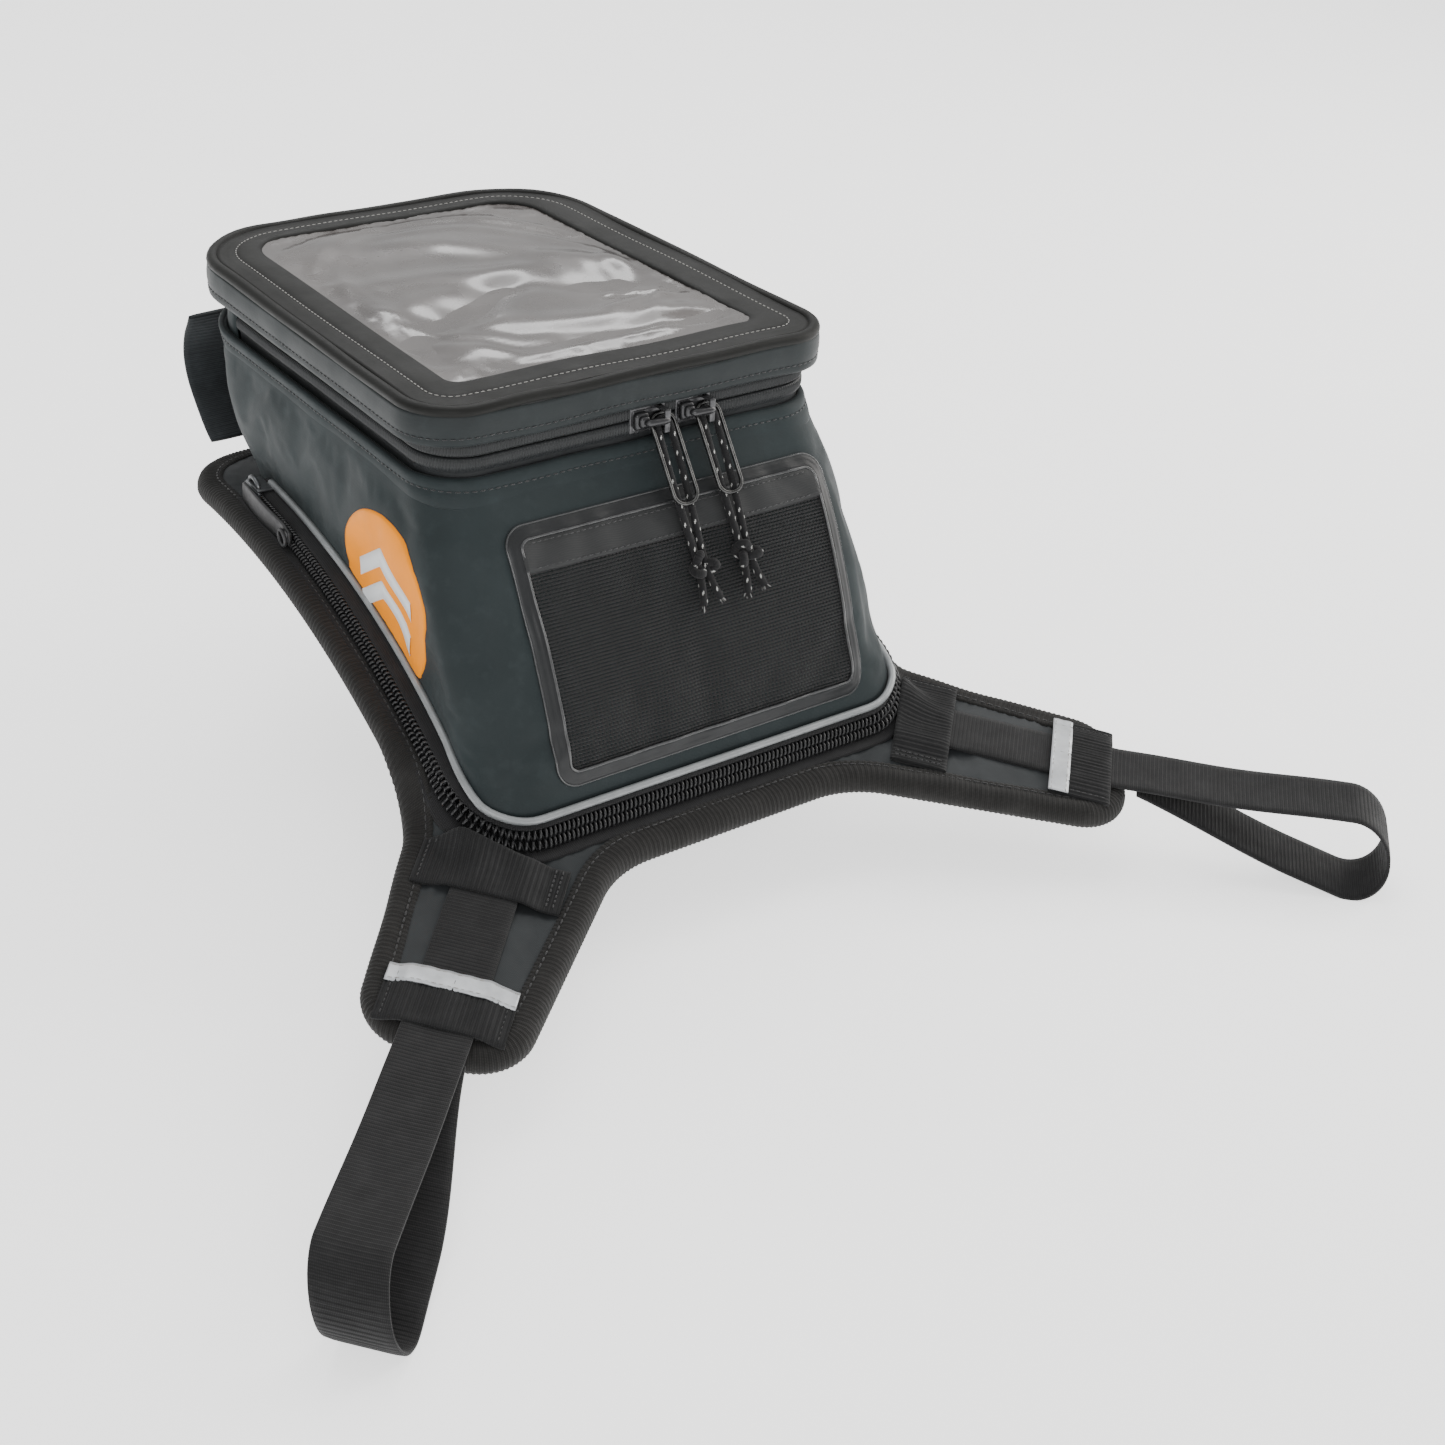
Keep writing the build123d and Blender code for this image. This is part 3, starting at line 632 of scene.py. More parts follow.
def rubber_dots():
    """Non-slip underside: rubber pimples on a knitted backing."""
    s = Surface("grip_rubber", Roughness=0.8, Specular_IOR_Level=0.25)
    place = s.where()
    dots = s.node("ShaderNodeTexVoronoi", {"Vector": place, "Scale": 1 / (3.2 * MM), "Randomness": 0.15})
    dome = s.spread(dots.outputs["Distance"], 1.0, 0.0, 0.15, 0.35)
    s.bump(dome, 0.8, 0.5)
    s.bump(s.noise(place, 0.6, 3), 0.3, 0.08)
    return s.done(s.blend(dome, (0.020, 0.020, 0.021), (0.042, 0.042, 0.043)))


def steel():
    """Black-nickel spring wire with fine drawing marks."""
    s = Surface("black_nickel_wire", Metallic=1.0, Specular_IOR_Level=0.6)
    place = s.where()
    tone = s.blend(s.spread(s.noise(place, 3, 4), 0, 1), (0.060, 0.060, 0.060), (0.115, 0.115, 0.113))
    s.bump(s.noise(s.where(scale=(1, 1, 0.15)), 0.4, 3), 0.15, 0.03)
    return s.done(tone, s.spread(s.noise(place, 1.5), 0.20, 0.34))


SLATE = (0.0215, 0.0285, 0.0300)
BODY = coated_fabric("coated_body_fabric", SLATE, 0.58, gloss=0.16)
LINING = cloth_weave("bag_lining", (0.034, 0.035, 0.036), 0.8, 0.5)
LID_SKIN = coated_fabric("coated_lid_fabric", (0.0195, 0.0238, 0.0248), 0.50, gloss=0.20)
FRAME_VINYL = coated_fabric("welded_frame_vinyl", (0.0120, 0.0122, 0.0112), 0.50, 0.25, gloss=0.18)
FILM = clear_film()
ZIP_FILM = coated_fabric("zip_film", (0.0190, 0.0205, 0.0215), 0.34, 0.2)
TAPE = woven("zip_tape", (0.016, 0.016, 0.017))
COIL = moulded("zip_coil_nylon", (0.014, 0.014, 0.015), 0.30, 0.1)
WEBBING = woven("black_webbing", (0.0165, 0.0165, 0.0170), 0.72)
BAND = woven("wide_band", (0.0150, 0.0152, 0.0158), 0.74)
HOLD_BAND = woven("front_hold_band", (0.0290, 0.0335, 0.0365), 0.70)
BINDING = woven("binding_tape", (0.0185, 0.0178, 0.0168), 0.80)
PAD = cloth_weave("pad_fabric", (0.030, 0.0335, 0.0355), 0.62)
GRIP = rubber_dots()
BOARD = cloth_weave("board_cover", (0.030, 0.031, 0.032), 0.8, 0.9)
PIPING = reflective("reflective_piping", (0.30, 0.315, 0.32), 0.38)
STRIP = reflective("reflective_strip", (0.62, 0.64, 0.66), 0.34)
NET = woven("net_yarn", (0.0075, 0.0075, 0.0080), 0.7, 0.3, 0.3, 0.2)
BEAD_GLOSS = moulded("welded_bead", (0.030, 0.031, 0.032), 0.20, 0.05, coat=0.6)
POCKET_FABRIC = coated_fabric("pocket_frame_vinyl", (0.0190, 0.0200, 0.0210), 0.36, 0.2)
BAND_FABRIC = cloth_weave("pocket_band_fabric", (0.0270, 0.0280, 0.0285), 0.55, 0.5)
PATCH_ORANGE = printed("patch_orange", (0.98, 0.30, 0.002))
PATCH_PALE = printed("patch_pale", (0.74, 0.76, 0.77))
PALE_THREAD = thread("pale_thread", (0.40, 0.39, 0.37))
DARK_THREAD = thread("dark_thread", (0.011, 0.011, 0.012))
SLIDER_METAL = moulded("slider_black", (0.030, 0.030, 0.032), 0.30, 0.15, 0.55, 0.2)
BASE_METAL = moulded("base_slider_grey", (0.13, 0.135, 0.14), 0.36, 0.15, 0.7)
CORD_BLACK = woven("cord_black", (0.012, 0.012, 0.013), 0.66, 0.25, 0.25)
CORD_WHITE = woven("cord_fleck", (0.60, 0.60, 0.58), 0.6, 0.25, 0.25)
TAB_RUBBER = moulded("tab_rubber", (0.017, 0.017, 0.018), 0.48, 0.3)
NICKEL = steel()


# ==== camera, light and floor =====================================================================
def make_camera():
    heading, dip, roll = (math.radians(v) for v in (CAMERA_HEADING, CAMERA_DIP, CAMERA_ROLL))
    ahead = Vector((math.sin(heading) * math.cos(dip), math.cos(heading) * math.cos(dip), -math.sin(dip)))
    level = ahead.cross(Vector((0, 0, 1))).normalized()
    upright = level.cross(ahead)
    right = level * math.cos(roll) + upright * math.sin(roll)
    up = right.cross(ahead)
    camera = bpy.data.objects.new("camera", bpy.data.cameras.new("camera"))
    camera.data.lens = CAMERA_LENS
    camera.data.sensor_width = 36.0
    camera.data.clip_start, camera.data.clip_end = 0.02, 50.0
    camera.matrix_world = Matrix((right, up, -ahead)).transposed().to_4x4()
    camera.location = Vector(CAMERA_AT) * MM
    bpy.context.scene.collection.objects.link(camera)
    bpy.context.scene.camera = camera


def make_softbox(name, at, target, size, power, colour=(1, 1, 1)):
    lamp = bpy.data.lights.new(name, "AREA")
    lamp.shape, lamp.size, lamp.size_y = "RECTANGLE", *size
    lamp.energy, lamp.color = power, colour
    holder = bpy.data.objects.new(name, lamp)
    holder.location = at
    holder.rotation_mode = "QUATERNION"
    holder.rotation_quaternion = (Vector(target) - Vector(at)).to_track_quat("-Z", "Y")
    bpy.context.scene.collection.objects.link(holder)


def make_studio():
    world = bpy.data.worlds.new("studio")
    world.use_nodes = True
    world.node_tree.nodes["Background"].inputs["Color"].default_value = (1, 1, 1, 1)
    world.node_tree.nodes["Background"].inputs["Strength"].default_value = 0.60
    bpy.context.scene.world = world
    make_softbox("top_box", (0.1, 0.5, 1.6), (0, 0, 0.05), (1.6, 1.2), 12)
    make_softbox("right_box", (1.5, -0.3, 0.7), (0, 0, 0.05), (0.7, 1.4), 16, (1.0, 0.97, 0.93))
    make_softbox("front_box", (-0.9, -1.5, 1.0), (0, 0, 0.0), (1.2, 0.9), 13)
    make_softbox("back_box", (1.1, 1.5, 1.75), (0, 0, 0.1), (1.5, 0.45), 13)
    reach, low = 6.0, CAD_BOX[0].z - 0.001
    build = Build()
    edge = np.linspace(-reach, reach, 9) / MM
    x, y = np.meshgrid(edge, edge, indexing="ij")
    build.sheet(np.stack([x, y, np.full_like(x, low / MM)], -1))
    s = Surface("pale_floor", Roughness=0.9, Emission_Color=(1, 1, 1, 1), Emission_Strength=1.3)
    place = s.where()
    floor = build.make("floor", s.done(s.blend(s.spread(s.noise(place, 120), 0, 1),
                                               (0.84, 0.84, 0.84), (0.86, 0.86, 0.86))), None)


# ==== pull cords ==================================================================================
# The route of each cord in its pull's own plane, in metres: across it, and down along it.
LEFT_STRAND = [(-0.0038, 0.075), (-0.0018, 0.066), (-0.0016, 0.054), (-0.0023, 0.042),
               (-0.0030, 0.024), (-0.0031, 0.010), (-0.0029, 0.0024)]
RIGHT_STRAND = [(0.0029, 0.0024), (0.0031, 0.010), (0.00305, 0.024), (0.0024, 0.042),
                (0.0016, 0.054), (0.0020, 0.066), (0.0046, 0.074)]


def pull_place(side, points):
    """Points across, down and behind a pull, in millimetres, put in the row frame."""
    points = np.asarray(points, float)
    down = np.array([0, -math.sin(PULL_LEAN), -math.cos(PULL_LEAN)])
    behind = np.array([0, math.cos(PULL_LEAN), -math.sin(PULL_LEAN)])
    origin = np.array([SLIDER_X[side] + HOOK_X, SLIDER_FACE - PIVOT_OUT, ZIP_Z + PIVOT_UP])
    return (origin + points[..., :1] * np.array([1.0, 0, 0]) + points[..., 1:2] * down
            + points[..., 2:3] * behind)


def spline_line(name, points):
    """Points in millimetres along the smooth spline that has the given control points, in metres."""
    curve = bpy.data.curves.new(name, "CURVE")
    curve.dimensions = "3D"
    curve.resolution_u = 16
    spline = curve.splines.new("NURBS")
    spline.points.add(len(points) - 1)
    for point, at in zip(spline.points, points):
        point.co = (*at, 1.0)
    spline.order_u = 3
    spline.use_endpoint_u = True
    holder = bpy.data.objects.new(name, curve)
    mesh = bpy.data.meshes.new_from_object(holder)
    line = np.array([v.co for v in mesh.vertices], float)
    bpy.data.objects.remove(holder)
    bpy.data.meshes.remove(mesh)
    return line / MM


BRAID_ROUND, BRAID_PITCH = 6, 2.2


def braided(build, line, radius, closed=False, start=0.0, around=24):
    """Braided cord along a line, with pairs of white yarns showing as flecks."""
    at, (points,) = resampled(line, 0.28, closed)
    side, up = carried(points, closed)
    angle = np.linspace(0, 2 * math.pi, around, endpoint=False)
    s = (at + start)[:, None]
    right = BRAID_ROUND * angle[None] / (2 * math.pi) + s / BRAID_PITCH
    left = BRAID_ROUND * angle[None] / (2 * math.pi) - s / BRAID_PITCH
    relief = 0.10 * np.sin(2 * math.pi * right) * np.sin(2 * math.pi * left)
    wide = radius + relief
    ring = side[:, None] * np.cos(angle)[None, :, None] + up[:, None] * np.sin(angle)[None, :, None]
    rows = len(points) - (not closed)
    fleck = (np.floor(right[:rows]) % 4 == 0) & (np.floor(left[:rows] * 2) % 5 < 1)
    slots = np.where(fleck, 1, 0).ravel()
    build.sheet(points[:, None] + ring * wide[..., None], around=closed, across=True, slot=slots,
                caps=not closed)


def make_pull_cord(side):
    route = [pull_place(side, [x / MM, y / MM, 0.0]) * MM for x, y in LEFT_STRAND + RIGHT_STRAND]
    line = spline_line(f"route_{side}", route)
    build = Build()
    braided(build, line, CORD_DIAMETER / MM / 2)
    cord = build.make(f"pull_cord_{side}", [CORD_BLACK, CORD_WHITE], f"pull_{side}",
                      [f"pull_cord_{side}"], "cord")
    knot = make_knot(side, line)


def make_knot(side, line):
    """An overhand knot round both strands, with short frayed ends below it."""
    t = np.linspace(0, 2 * math.pi, 90, endpoint=False)
    turn = 0.5 if side == "left" else 1.4
    lobe = 2.0
    x = lobe * (np.sin(t + turn) + 1.5 * np.sin(2 * t + turn))
    y = KNOT_AT + lobe * 0.85 * (np.cos(t + turn) - 1.5 * np.cos(2 * t + turn))
    z = -2.6 * np.sin(3 * t)
    build = Build()
    braided(build, pull_place(side, np.stack([x, y, z], -1)), 1.7, closed=True, around=18)
    rng = random.Random(11 if side == "left" else 23)
    for end, before in ((line[0], line[4]), (line[-1], line[-5])):
        way = unit(end - before)
        for _ in range(26):
            lean = np.array([rng.uniform(-1, 1) for _ in range(3)])
            root = end - way * 0.6 + lean * 0.7
            tip = root + unit(way + lean * 0.45) * rng.uniform(1.4, 2.8)
            build.capsule(root, tip, 0.13, sides=4, slot=1 if rng.random() < 0.25 else 0)
    return build.make(f"cord_knot_{side}", [CORD_BLACK, CORD_WHITE], f"pull_{side}",
                      [f"cord_knot_{side}"], "cord")


make_camera()
make_studio()
for side in SLIDER_X:
    make_pull_cord(side)


# ==== harness =====================================================================================
def pad_corners():
    """The pad's corners and radii, anticlockwise from the front left."""
    left = [(-x, y) for x, y in PAD_CORNERS]
    return left + PAD_CORNERS[::-1], PAD_RADII + PAD_RADII[::-1]


def pad_outline(step):
    corners, radii = pad_corners()
    points, normals = rounded(corners, radii, [30] * len(corners), 24)
    _, (points, normals) = resampled(points, step, closed=True, extra=(normals,))
    return points, unit(normals)


def inside(points, ring):
    """Which plan points lie inside a closed ring of points."""
    x, y = points[..., 0], points[..., 1]
    found = np.zeros(x.shape, bool)
    for (ax, ay), (bx, by) in zip(ring, np.roll(ring, -1, 0)):
        if ay != by:
            crosses = (ay > y) != (by > y)
            found ^= crosses & (x < (bx - ax) * (y - ay) / (by - ay) + ax)
    return found


def plan_cells(ring, cell):
    """A grid of plan points over a ring, and which of its cells lie inside it."""
    low, high = ring.min(0), ring.max(0)
    x = np.arange(low[0], high[0] + cell, cell)
    y = np.arange(low[1], high[1] + cell, cell)
    grid = np.stack(np.meshgrid(x, y, indexing="ij"), -1)
    return grid, inside(grid[:-1, :-1] + cell / 2, ring)


def layer(build, grid, kept, top, bottom, slot=0):
    """A closed layer between two sheets of points that share a grid, over the kept cells."""
    rows, cols = grid.shape[:2]
    index = -np.ones((rows, cols), int)
    i, j = np.nonzero(kept)
    corners = [(i, j), (i + 1, j), (i + 1, j + 1), (i, j + 1)]
    for a, b in corners:
        index[a, b] = 0
    used = np.nonzero(index == 0)
    index[used] = np.arange(len(used[0]))
    quads = np.stack([index[a, b] for a, b in corners], -1)
    count = len(used[0])
    faces = quads.tolist() + (quads[:, ::-1] + count).tolist()
    edges = {}
    for quad in quads.tolist():
        for a, b in zip(quad, quad[1:] + quad[:1]):
            edges[(a, b)] = True
    faces += [[b, a, a + count, b + count] for a, b in edges if (b, a) not in edges]
    build.add(np.concatenate([top[used], bottom[used]]), faces, None, slot)


def make_pad():
    edge, normals = pad_outline(3.0)
    cell = 3.0
    grid, kept = plan_cells(edge - normals * (BINDING_WIDTH - 4.0), cell)
    x, y = grid[..., 0], grid[..., 1]
    top = laid(x, y, PAD_TOP)
    # The padding is free to swell between the binding and the bag, and held under both.
    tight = inside(grid, edge - normals * (BINDING_WIDTH + 1.0))
    chain, _ = outline(CHAIN_PLAN, 5.0)
    held = ~tight | inside(grid, chain)
    puffed = settled(top, False, held.astype(float), 1.6, pressure=2.5, spare=0.015)
    soft = ripple(top, 0.22, 34, 3) * ~held
    puffed = puffed + soft[..., None] * np.array([0, 0, 1.0])
    build = Build()
    layer(build, grid, kept, puffed, laid(x, y, 1.2))
    pad = build.make("pad_fabric", PAD, "harness", ["pad_core"], "pad_fabric")
    build = Build()
    layer(build, grid, kept, laid(x, y, 1.0), laid(x, y, 0.05))
    build.make("pad_grip_layer", GRIP, "harness", ["pad_grip_layer"], "grip_rubber")


def make_binding():
    """Ribbed tape folded over the pad's edge, with a sewn line near its inner edge."""
    pitch = 2.1
    edge, normals = pad_outline(pitch / 4)
    along = lengths(edge, True)[:-1]
    section = [(-11.0, 7.4), (-10.8, 8.7), (-9.6, 9.1), (-8.4, 8.8), (-6.0, 9.5), (-3.2, 9.4), (-1.2, 8.2),
               (-0.1, 5.9), (0.0, 3.6), (-0.9, 1.5), (-3.0, 0.35), (-7.0, 0.1), (-10.8, 0.1)]
    section = np.array(section)
    middle = np.array([-5.5, 4.6])
    out = unit(section - middle)
    rib = 0.17 * np.cos(2 * math.pi * along / pitch)
    soft = ripple(np.concatenate([edge, along[:, None] * 0], 1), 0.25, 40, 5)
    swell = rib[:, None] + soft[:, None] * (section[:, 1] > 5)[None]
    grow = section[None, :, 0] + out[None, :, 0] * swell
    lift = np.maximum(section[None, :, 1] + out[None, :, 1] * swell, 0.05)
    x = edge[:, None, 0] + normals[:, None, 0] * grow
    y = edge[:, None, 1] + normals[:, None, 1] * grow
    build = Build()
    build.sheet(laid(x, y, lift), around=True, across=True)
    build.make("pad_binding", BINDING, "harness", ["pad_binding", "pad_binding_rear"], "binding_tape")
    sewn = edge - normals * 8.4
    build = Build()
    stitches(build, laid(sewn[:, 0], sewn[:, 1], 8.95), (0, 0, 1), 3.4, 0.72, 0.34, closed=True)
    build.make("pad_binding_stitching", DARK_THREAD, "harness", slot="binding_tape")


def keeper_rise(across, rise):
    """How far a keeper stands up where the webbing passes through it."""
    return rise * ease((WEB_WIDTH / 2 + 9.5 - np.abs(across)) / 10.0)


def make_arms():
    for name, side in (("right", 1), ("left", -1)):
        build = Build()
        length = OUTER_KEEPER[1] - 2.0

        def web(s, t, h):
            return on_arm(1.0 + s, t, WEB_LIFT + 0.8 + h, side)

        webbing(build, web, length, WEB_WIDTH, WEB_THICK, 1.7)
        build.make(f"anchor_web_{name}", WEBBING, "harness", [f"anchor_web_{name}"], "webbing")
        for keeper, (start, end, width) in (("inner", INNER_KEEPER), ("outer", OUTER_KEEPER)):
            build = Build()
            middle, broad = (start + end) / 2, end - start

            def band(s, t, h):
                across = s - width / 2
                sag = 0.35 * np.sin(across * 0.35 + start) * ease((broad / 2 - np.abs(t)) / 4)
                return on_arm(middle + t, across, WEB_LIFT + 0.2 + keeper_rise(across, 2.1) + h + sag, side)

            webbing(build, band, width, broad, 1.5, 2.0, 0.32, across=17)
            build.make(f"{keeper}_keeper_{name}", BAND, "harness", [f"{keeper}_keeper_{name}"], "webbing")
            build = Build()
            for row in (-1, 1):
                for edge in (width / 2 - 2.5, width / 2 - 5.0):
                    run = np.linspace(start + 1.5, end - 1.5, 12)
                    line = on_arm(run, np.full(12, row * edge), WEB_LIFT + 1.2, side)
                    stitches(build, line, (0, 0, 1), 2.6, 0.7, 0.3)
            build.make(f"{keeper}_keeper_stitching_{name}", DARK_THREAD, "harness", slot="webbing")
        make_strip(name, side)


def make_strip(name, side):
    """Reflective tape sewn along the outer keeper's edge nearest the bag."""
    start, _, width = OUTER_KEEPER
    build = Build()
    across = np.linspace(-width / 2, width / 2, 60)
    section = np.array([(-4.2, 0.0), (-4.1, 0.45), (-2.6, 0.7), (0, 0.55), (2.6, 0.7), (4.1, 0.45),
                        (4.2, 0.0)])
    run, over = start + STRIP_WIDTH / 2 + section[:, 0], section[:, 1]
    wave = 0.12 * np.sin(across * 0.9)[:, None]
    lift = WEB_LIFT + 1.05 + keeper_rise(across, 2.1)[:, None] + over[None] + wave
    run = np.broadcast_to(run[None], lift.shape)
    wide = np.broadcast_to(across[:, None], lift.shape)
    build.sheet(on_arm(run, wide, lift, side), across=True, caps=True)
    build.make(f"reflective_strip_{name}", STRIP, "harness", [f"reflective_strip_{name}"], "reflective")
    build = Build()
    for offset in (-3.0, 3.0):
        lift = WEB_LIFT + 1.65 + keeper_rise(across, 2.1)
        line = on_arm(start + STRIP_WIDTH / 2 + offset, across, lift, side)
        stitches(build, line, (0, 0, 1), 2.6, 0.68, 0.22)
    build.make(f"reflective_stitching_{name}", PALE_THREAD, "harness", slot="reflective")


def strap_line():
    """The strap's middle line beside its arm: out along the top, round the tube, back underneath."""
    radius = LOOP_RADIUS + WEB_THICK / 2
    centre = np.array([LOOP_CENTRE, STRAP_LIFT - 4.0])
    touches = []
    for height, sign in ((STRAP_LIFT + WEB_THICK / 2, 1), (STRAP_LIFT - 0.2 - WEB_THICK / 2, -1)):
        reach = centre - np.array([ARM_TIP, height])
        tilt = math.atan2(reach[1], reach[0]) + sign * math.asin(radius / math.hypot(*reach))
        touches.append(centre + sign * radius * np.array([-math.sin(tilt), math.cos(tilt)]))
    start, end = (math.atan2(*(touch - centre)[::-1]) for touch in touches)
    angles = np.linspace(start, end, 40)
    turn = centre + radius * np.stack([np.cos(angles), np.sin(angles)], -1)
    root = [(OUTER_KEEPER[1] - 3.0, WEB_LIFT + 0.9), (OUTER_KEEPER[1] + 3.0, WEB_LIFT + 1.1)]
    out = np.concatenate([root, np.linspace((ARM_TIP, STRAP_LIFT + WEB_THICK / 2), touches[0], 30)[:-1]])
    back = np.linspace(touches[1], (ARM_TIP, STRAP_LIFT - 0.2 - WEB_THICK / 2), 30)[1:]
    return np.concatenate([out, turn, back])


def make_strap(name, side):
    """Webbing from the arm's tip round the frame tube and back, its lower layer lying askew."""
    line = strap_line()
    along = lengths(line)
    ahead = unit(np.gradient(line, axis=0))
    normal = np.stack([-ahead[:, 1], ahead[:, 0]], -1)
    total = along[-1]

    def strap(s, t, h):
        run = np.interp(s, along, line[:, 0])
        lift = np.interp(s, along, line[:, 1])
        share = s / total
        sag = 1.2 * np.sin(math.pi * np.clip((s - 12.0) / 85.0, 0, 1)) ** 2
        slip = -7.5 * ease((share - 0.42) / 0.2) * ease((1.02 - share) / 0.3)
        curl = 0.5 * (t / WEB_WIDTH) ** 2 * 4
        nx = np.interp(s, along, normal[:, 0])
        nz = np.interp(s, along, normal[:, 1])
        bent = nz * h - sag * (share < 0.5) + curl * (share < 0.5)
        return on_arm(run + nx * h, t + slip, lift + bent, side)

    build = Build()
    webbing(build, strap, total, WEB_WIDTH, WEB_THICK, 1.7)
    piece = build.make(f"side_strap_{name}", WEBBING, None, [f"side_strap_{name}"], "webbing")
    start, end = (on_arm(ARM_TIP + d, 0.0, STRAP_LIFT, side) * MM for d in (-5.0, 5.0))
    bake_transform(piece)


make_pad()
make_binding()
make_arms()
for name, side in (("right", 1), ("left", -1)):
    make_strap(name, side)


# ==== base zipper =================================================================================
def open_run(points, front_y):
    """Which points of a plan's outline lie behind its open front, in one run."""
    kept = np.flatnonzero(points[:, 1] < front_y)
    return slice(kept[0], kept[-1] + 1)


def coil(build, place, total, pitch, depth, low, high, wire, phase=0.0):
    """A nylon zipper coil: a flattened helix. place(s, out, up) puts it in space."""
    turns = total / pitch
    angle = np.linspace(0, 2 * math.pi * turns, int(turns * 10))
    s = angle / (2 * math.pi) * pitch
    cos, sin = np.cos(angle + phase), np.sin(angle + phase)
    out = (depth[0] + depth[1]) / 2 + (depth[1] - depth[0]) / 2 * np.sign(cos) * np.abs(cos) ** 0.7
    up = (low + high) / 2 + (high - low) / 2 * np.sign(sin) * np.abs(sin) ** 0.7
    build.tube(place(s, out, up), wire, sides=6)


def base_chain_place():
    """Places along the base zipper: distance from its left front end, outwards, and lift."""
    points, normals = outline(CHAIN_PLAN)
    run = open_run(points, CHAIN_END_Y)
    points, normals = points[run], normals[run]
    along = lengths(points)

    def place(s, out, lift):
        x, y, nx, ny = (np.interp(s, along, v) for v in (*points.T, *normals.T))
        return laid(x + nx * out, y + ny * out, lift)

    return place, along[-1]


COIL_PITCH, COIL_WIRE = 2.0, 0.60


def make_base_zipper():
    place, total = base_chain_place()
    halves = (("lower", "harness", COIL_LOW, (4.0, 7.2), 0.0),
              ("upper", "bag", COIL_HIGH, (2.8, 5.4), math.pi))
    for name, body, (low, high), depth, phase in halves:
        build = Build()
        coil(build, place, total, COIL_PITCH, depth, low + COIL_WIRE, high - COIL_WIRE, COIL_WIRE, phase)
        build.make(f"base_zip_{name}_coil", COIL, body, [f"base_zip_{name}_coil"], "zip_coil", recalc=False)
    s = np.linspace(0, total, 500)[:, None]
    build = Build()
    section = np.array([(-1.0, 8.2), (4.0, 8.7), (8.0, 8.8), (9.6, 9.3), (10.4, 9.2),
                        (10.6, 8.4), (9.8, 7.9), (-1.0, 7.9)])
    build.sheet(place(s, section[None, :, 0], section[None, :, 1]), across=True, caps=True)
    build.make("base_zip_lower_tape", TAPE, "harness", ["base_zip_lower_tape"], "zip_tape")
    # The upper tape runs from the coil in to the bag's foot.
    points, normals = outline(CHAIN_PLAN)
    run = open_run(points, CHAIN_END_Y)
    foot = foot_line(TAPE_LIFT, 0.0)[run, :2]
    outer = points[run] + normals[run] * 3.6
    rows = []
    for share, lift in ((0, 14.6), (0.02, 15.4), (0.3, 15.9), (0.7, 15.9), (1.0, 16.2), (1.1, 15.4),
                        (0.5, 14.9),
                        (0.05, 14.4)):
        at = outer + (foot - outer) * share
        rows.append(laid(at[:, 0], at[:, 1], lift))
    build = Build()
    build.sheet(np.stack(rows, 1), across=True, caps=True)
    build.make("base_zip_upper_tape", TAPE, "bag", ["base_zip_upper_tape"], "zip_tape")


# ==== bag body ====================================================================================
LOW_RING, FULL_RING, RIM_RING = (outline(p)[0] for p in (LOW_PLAN, FULL_PLAN, RIM_PLAN))
RING_NORMALS = outline(FULL_PLAN)[1]


def hull(z):
    """The body's outline at a height for each of its columns."""
    z = np.asarray(z, float)[..., None]
    low = LOW_RING + (FULL_RING - LOW_RING) * (z - LOW_Z) / (FULL_Z - LOW_Z)
    high = FULL_RING + (RIM_RING - FULL_RING) * (z - FULL_Z) / (RIM_Z - FULL_Z)
    return np.where(z < FULL_Z, low, high)


def straight_foot(lift):
    """Where the body's outline meets a lift above the tank, before its rear spreads over the zipper."""
    z = np.zeros(len(LOW_RING))
    for _ in range(8):
        z = tank_height(hull(z)[:, 1], lift)
    return np.concatenate([hull(z), z[:, None]], 1)


def foot_line(lift, grow=1.6):
    """The body's foot at a lift: at the rear it spreads over the base zipper, the sides stay straight."""
    inner, outer = straight_foot(lift)[:, :2], outline(CHAIN_PLAN, grow)[0]
    spread = np.clip(-1.6 * RING_NORMALS[:, 1:], 0, 1)
    at = inner + (outer - inner) * spread
    return np.concatenate([at, tank_height(at[:, 1:], lift)], 1)


def flanks():
    """How squarely each column faces sideways (1) rather than to the front, rear or a corner (0)."""
    return ease((np.abs(RING_NORMALS[:, 0]) - 0.8) / 0.19), ease((-RING_NORMALS[:, 1] - 0.8) / 0.15)


BODY_ROWS = 44
FOLDS = [  # soft creases in the body: start x, y, z, end x, y, z, width, height
    ((96, -80, -14), (95, -88, 40), 7, 1.3),
    ((88, -94, -24), (92, -74, 30), 5, -1.0),
    ((-96, -86, -22), (-95, -60, 30), 9, 0.7),
    ((-99, -40, 2), (-94, -15, 66), 12, 0.6),
    ((-97, 10, 16), (-92, 50, 70), 10, -0.5),
    ((60, -75, 62), (-20, -72, 64), 6, 0.6),
    ((-80, -72, 66), (-30, -66, 72), 5, 0.5),
]


def creases(grid, folds):
    """Height of soft creases along straight strokes near each point."""
    total = np.zeros(grid.shape[:-1])
    for start, end, width, height in folds:
        start, end = np.array(start, float), np.array(end, float)
        way = end - start
        share = np.clip((grid - start) @ way / (way @ way), -0.1, 1.1)
        gap = np.linalg.norm(grid - start - share[..., None] * way, axis=-1)
        total += height * np.exp(-((gap / width) ** 2)) * (1 - 0.6 * np.abs(share - 0.5))
    return total


# Lift and grow of the edge that turns in below the wall.
TURNED_IN = ((9.0, -1.2), (12.5, -1.2), (15.2, -0.9), (SHELF_LIFT, 0.2))


